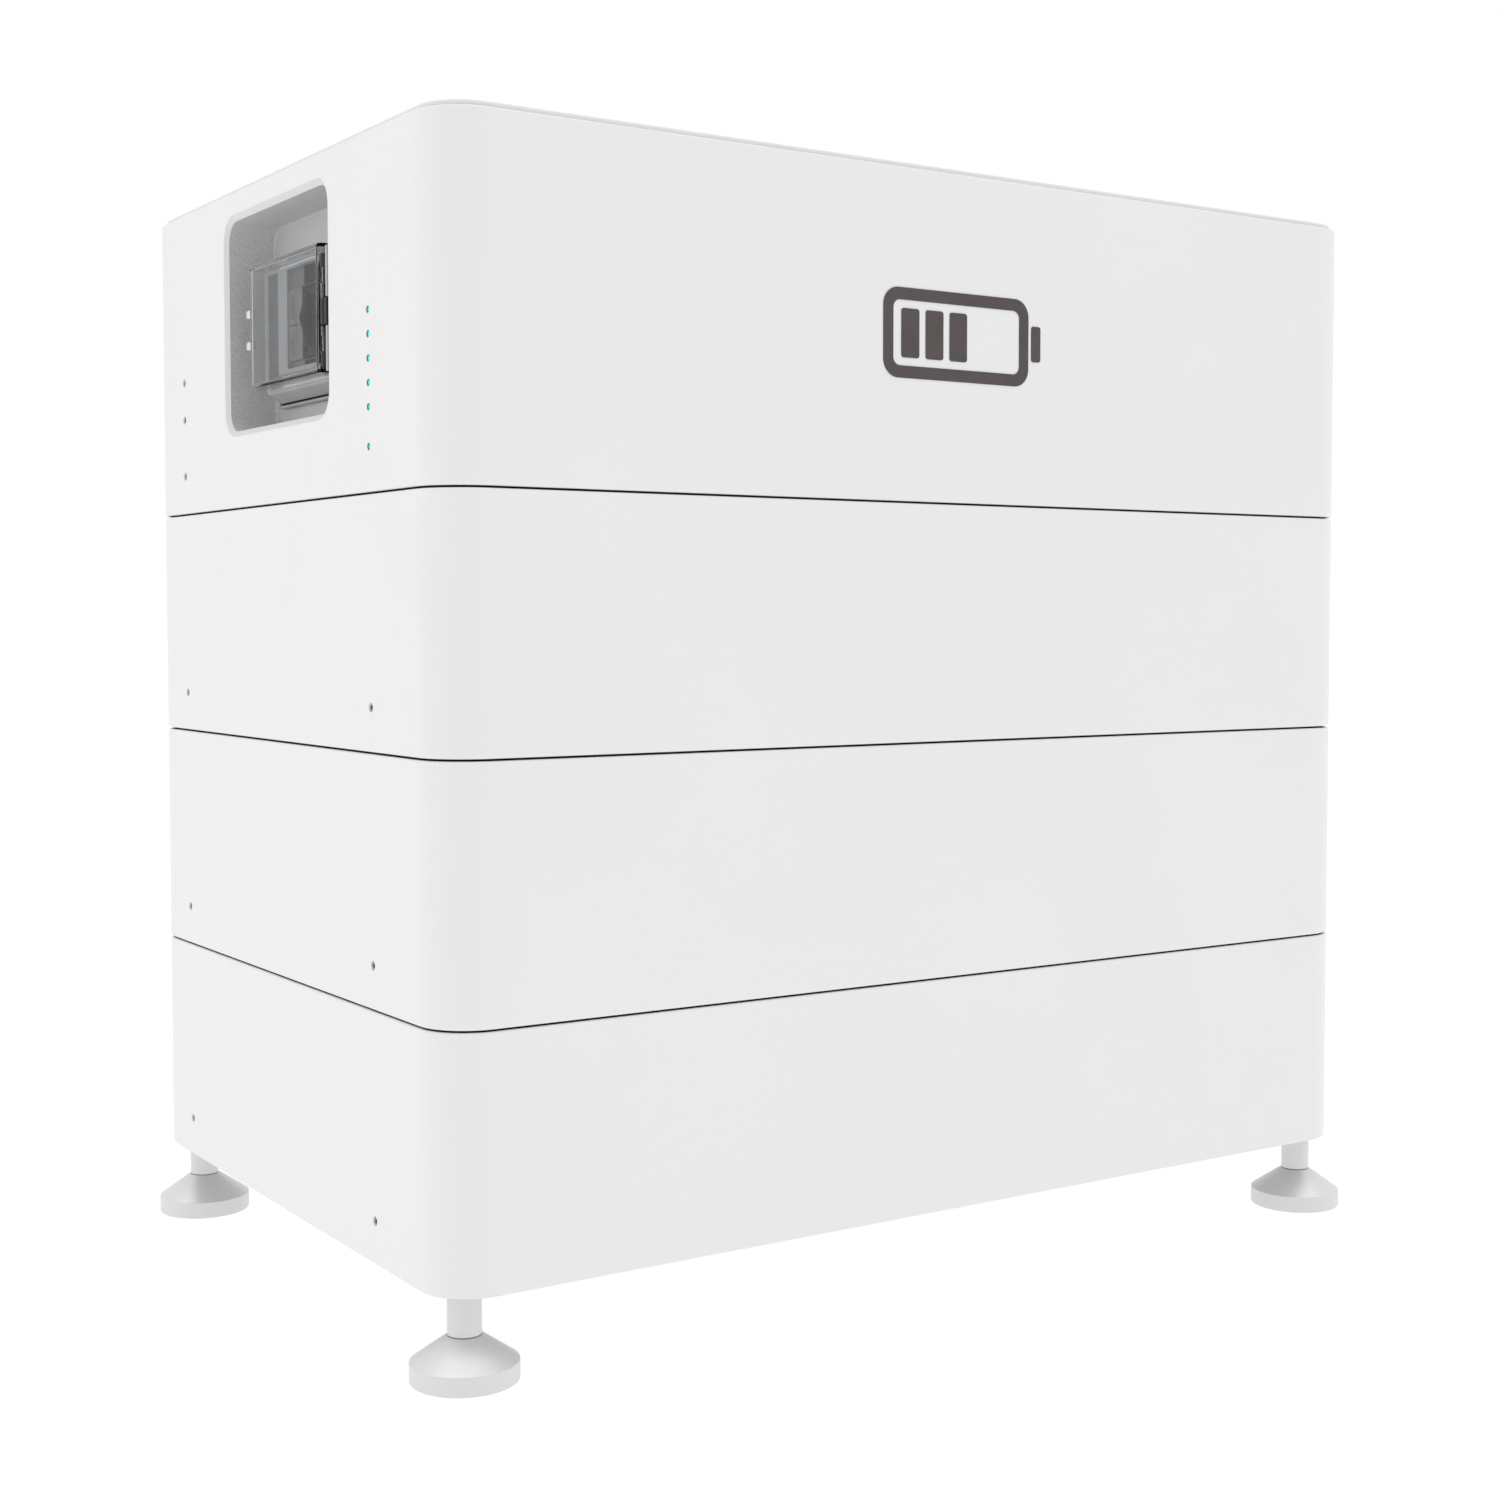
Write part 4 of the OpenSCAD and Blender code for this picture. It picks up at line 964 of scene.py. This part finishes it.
def make_foot(n):
    """A turned pad and its levelling screw, with a thread on the part inside the casing."""
    low, high = box_mm(f"foot_{n}_pad")
    r, top = (high.x - low.x) / 2, high.z
    place = upright((low.x + high.x) / 2, (low.y + high.y) / 2)
    bm = bmesh.new()
    pad = [(0, 0.3), (r - 3.4, 0.3), (r - 3, 0), (r - 0.6, 0), (r, 0.6), (r, 9), (8.2, top), (6.1, top)]
    turned(bm, [*softened(pad, 0.3), (6.1, 11.7), (0, 11.7)], place, 128)
    body = f"foot_{n}_pad"
    new_piece(f"foot_{n}_turned_pad", bm, FOOT, body, (body,), 25)

    low, high = box_mm(f"foot_{n}_stem")
    r = (high.x - low.x) / 2
    bm = bmesh.new()
    collar = [(0, low.z), (6, low.z), (6, 21), (r, 21), (r, COLLAR_TOP), (5, COLLAR_TOP)]
    turned(bm, softened(collar, 0.25), place, 64)
    loft(bm, thread_rings(place, high.z))
    body = f"foot_{n}_stem"
    new_piece(f"foot_{n}_levelling_screw", bm, FOOT, body, (body,), 30)


# ---- finishes of the CAD parts that show as they are ----

# The first row with a word from the part's name counts
CAD_FINISHES = [
    (("wrap_cover",), WHITE), (("top_lid",), LID_WHITE),
    (("chassis", "base_tray", "control_deck"), CHASSIS), (("recess_tray", "recess_back"), ZINC),
    # The window frames take the darker copy of the white coat: painted shade.
    (("window_frame",), FRAME_SHADED_WHITE),
    (("cells",), CELL), (("end_plates",), ALUMINIUM), (("busbars",), COPPER), (("board",), BOARD),
    (("hood_base",), BASE_GREY), (("hood_cover",), CLEAR), (("hinge_blocks",), HINGE_BLACK),
    (("hinge_pins",), DARK_STEEL), (("finger_tabs", "power_button"), TAB_WHITE),
    (("breaker_body",), BREAKER_GREY), (("breaker_toggle",), TOGGLE), (("led_light",), CYAN),
    (("contactors",), CONTACTOR), (("dc_fuse",), FUSE), (("dc_sockets", "stack_connectors"), ORANGE),
    (("data_ports",), PORT_METAL), (("earth_stud",), BRASS), (("front_badge",), PRINT),
    # The gaskets' black rubber is a real seal, and also painted shade in the grooves between modules.
    (("gaskets",), SHADE_RUBBER), (("locating_pins", "cover_screws", "foot_nuts"), FASTENER), (("foot_",), FOOT),
]


def finish_cad_parts():
    """Gives each CAD part the finish of its kind."""
    for name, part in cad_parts.items():
        finish = next(choice for words, choice in CAD_FINISHES if any(word in name for word in words))
        part.data.materials.clear()
        part.data.materials.append(finish.material)


# ---- camera, light and floor ----

def make_camera():
    """A viewpoint near the front left corner, a little above the unit's mid height."""
    camera = bpy.data.objects.new("camera", bpy.data.cameras.new("camera"))
    bpy.context.scene.collection.objects.link(camera)
    camera.data.sensor_width = 36
    camera.data.lens = 52.09
    camera.data.shift_x = -0.0122
    camera.data.shift_y = -0.02
    camera.data.clip_start = 0.05
    camera.data.clip_end = 100
    yaw, pitch = math.radians(33.759), math.radians(2.658)
    look = Vector((math.sin(yaw) * math.cos(pitch), math.cos(yaw) * math.cos(pitch), -math.sin(pitch)))
    camera.location = (-0.68543, -1.04231, 0.33994)
    camera.rotation_mode = "QUATERNION"
    camera.rotation_quaternion = look.to_track_quat("-Z", "Y")
    bpy.context.scene.camera = camera


def make_floor():
    """A plain white sweep that is bright enough to meet the background."""
    reach = 30
    mesh = bpy.data.meshes.new("floor")
    corners = [(x * reach, y * reach, 0) for x, y in ((-1, -1), (1, -1), (1, 1), (-1, 1))]
    mesh.from_pydata(corners, [], [(0, 1, 2, 3)])
    floor = bpy.data.objects.new("floor", mesh)
    bpy.context.scene.collection.objects.link(floor)
    paper = Finish("white_paper_sweep", (0.14, 0.14, 0.14), 0.9)
    paper.put("Emission Color", (1, 1, 1, 1))
    paper.put("Emission Strength", 0.9)
    floor.data.materials.append(paper.material)


# The room's brightness all round, in the shaded direction, and how much brighter it is overhead
SHADE_FROM = (-0.45, -0.87, 0.1)
ROOM, SHADED, OVERHEAD = 1.0, 0.6, 1.9


def make_light():
    """A bright white room: darker low down towards the viewpoint, brighter overhead."""
    scene = bpy.context.scene
    scene.view_settings.view_transform = "Standard"
    world = bpy.data.worlds.new("studio")
    scene.world = world
    world.use_nodes = True
    tree = world.node_tree
    background = tree.nodes["Background"]
    background.inputs["Color"].default_value = (1, 1, 1, 1)
    coords = tree.nodes.new("ShaderNodeTexCoord")

    def falloff(direction, start, low, high):
        """Runs smoothly from low, away from a direction, to high along it."""
        facing = tree.nodes.new("ShaderNodeVectorMath")
        facing.operation = "DOT_PRODUCT"
        facing.inputs[1].default_value = Vector(direction).normalized()
        tree.links.new(coords.outputs["Generated"], facing.inputs[0])
        shade = tree.nodes.new("ShaderNodeMapRange")
        shade.interpolation_type = "SMOOTHSTEP"
        shade.inputs["From Min"].default_value = start
        shade.inputs["To Min"].default_value = low
        shade.inputs["To Max"].default_value = high
        tree.links.new(facing.outputs["Value"], shade.inputs["Value"])
        return shade.outputs["Result"]

    both = tree.nodes.new("ShaderNodeMath")
    both.operation = "MULTIPLY"
    tree.links.new(falloff(SHADE_FROM, 0.2, ROOM, SHADED), both.inputs[0])
    tree.links.new(falloff((0, 0, 1), 0.75, 1.0, OVERHEAD), both.inputs[1])
    tree.links.new(both.outputs["Value"], background.inputs["Strength"])


make_wraps()
make_recesses()
make_hood_base()
make_escutcheon()
make_hood()
make_hinge_blocks()
make_breaker()
make_toggle()
make_indicators()
make_connectors()
make_badge()
for foot in (1, 2, 3, 4):
    make_foot(foot)
finish_cad_parts()
make_camera()
make_floor()
make_light()
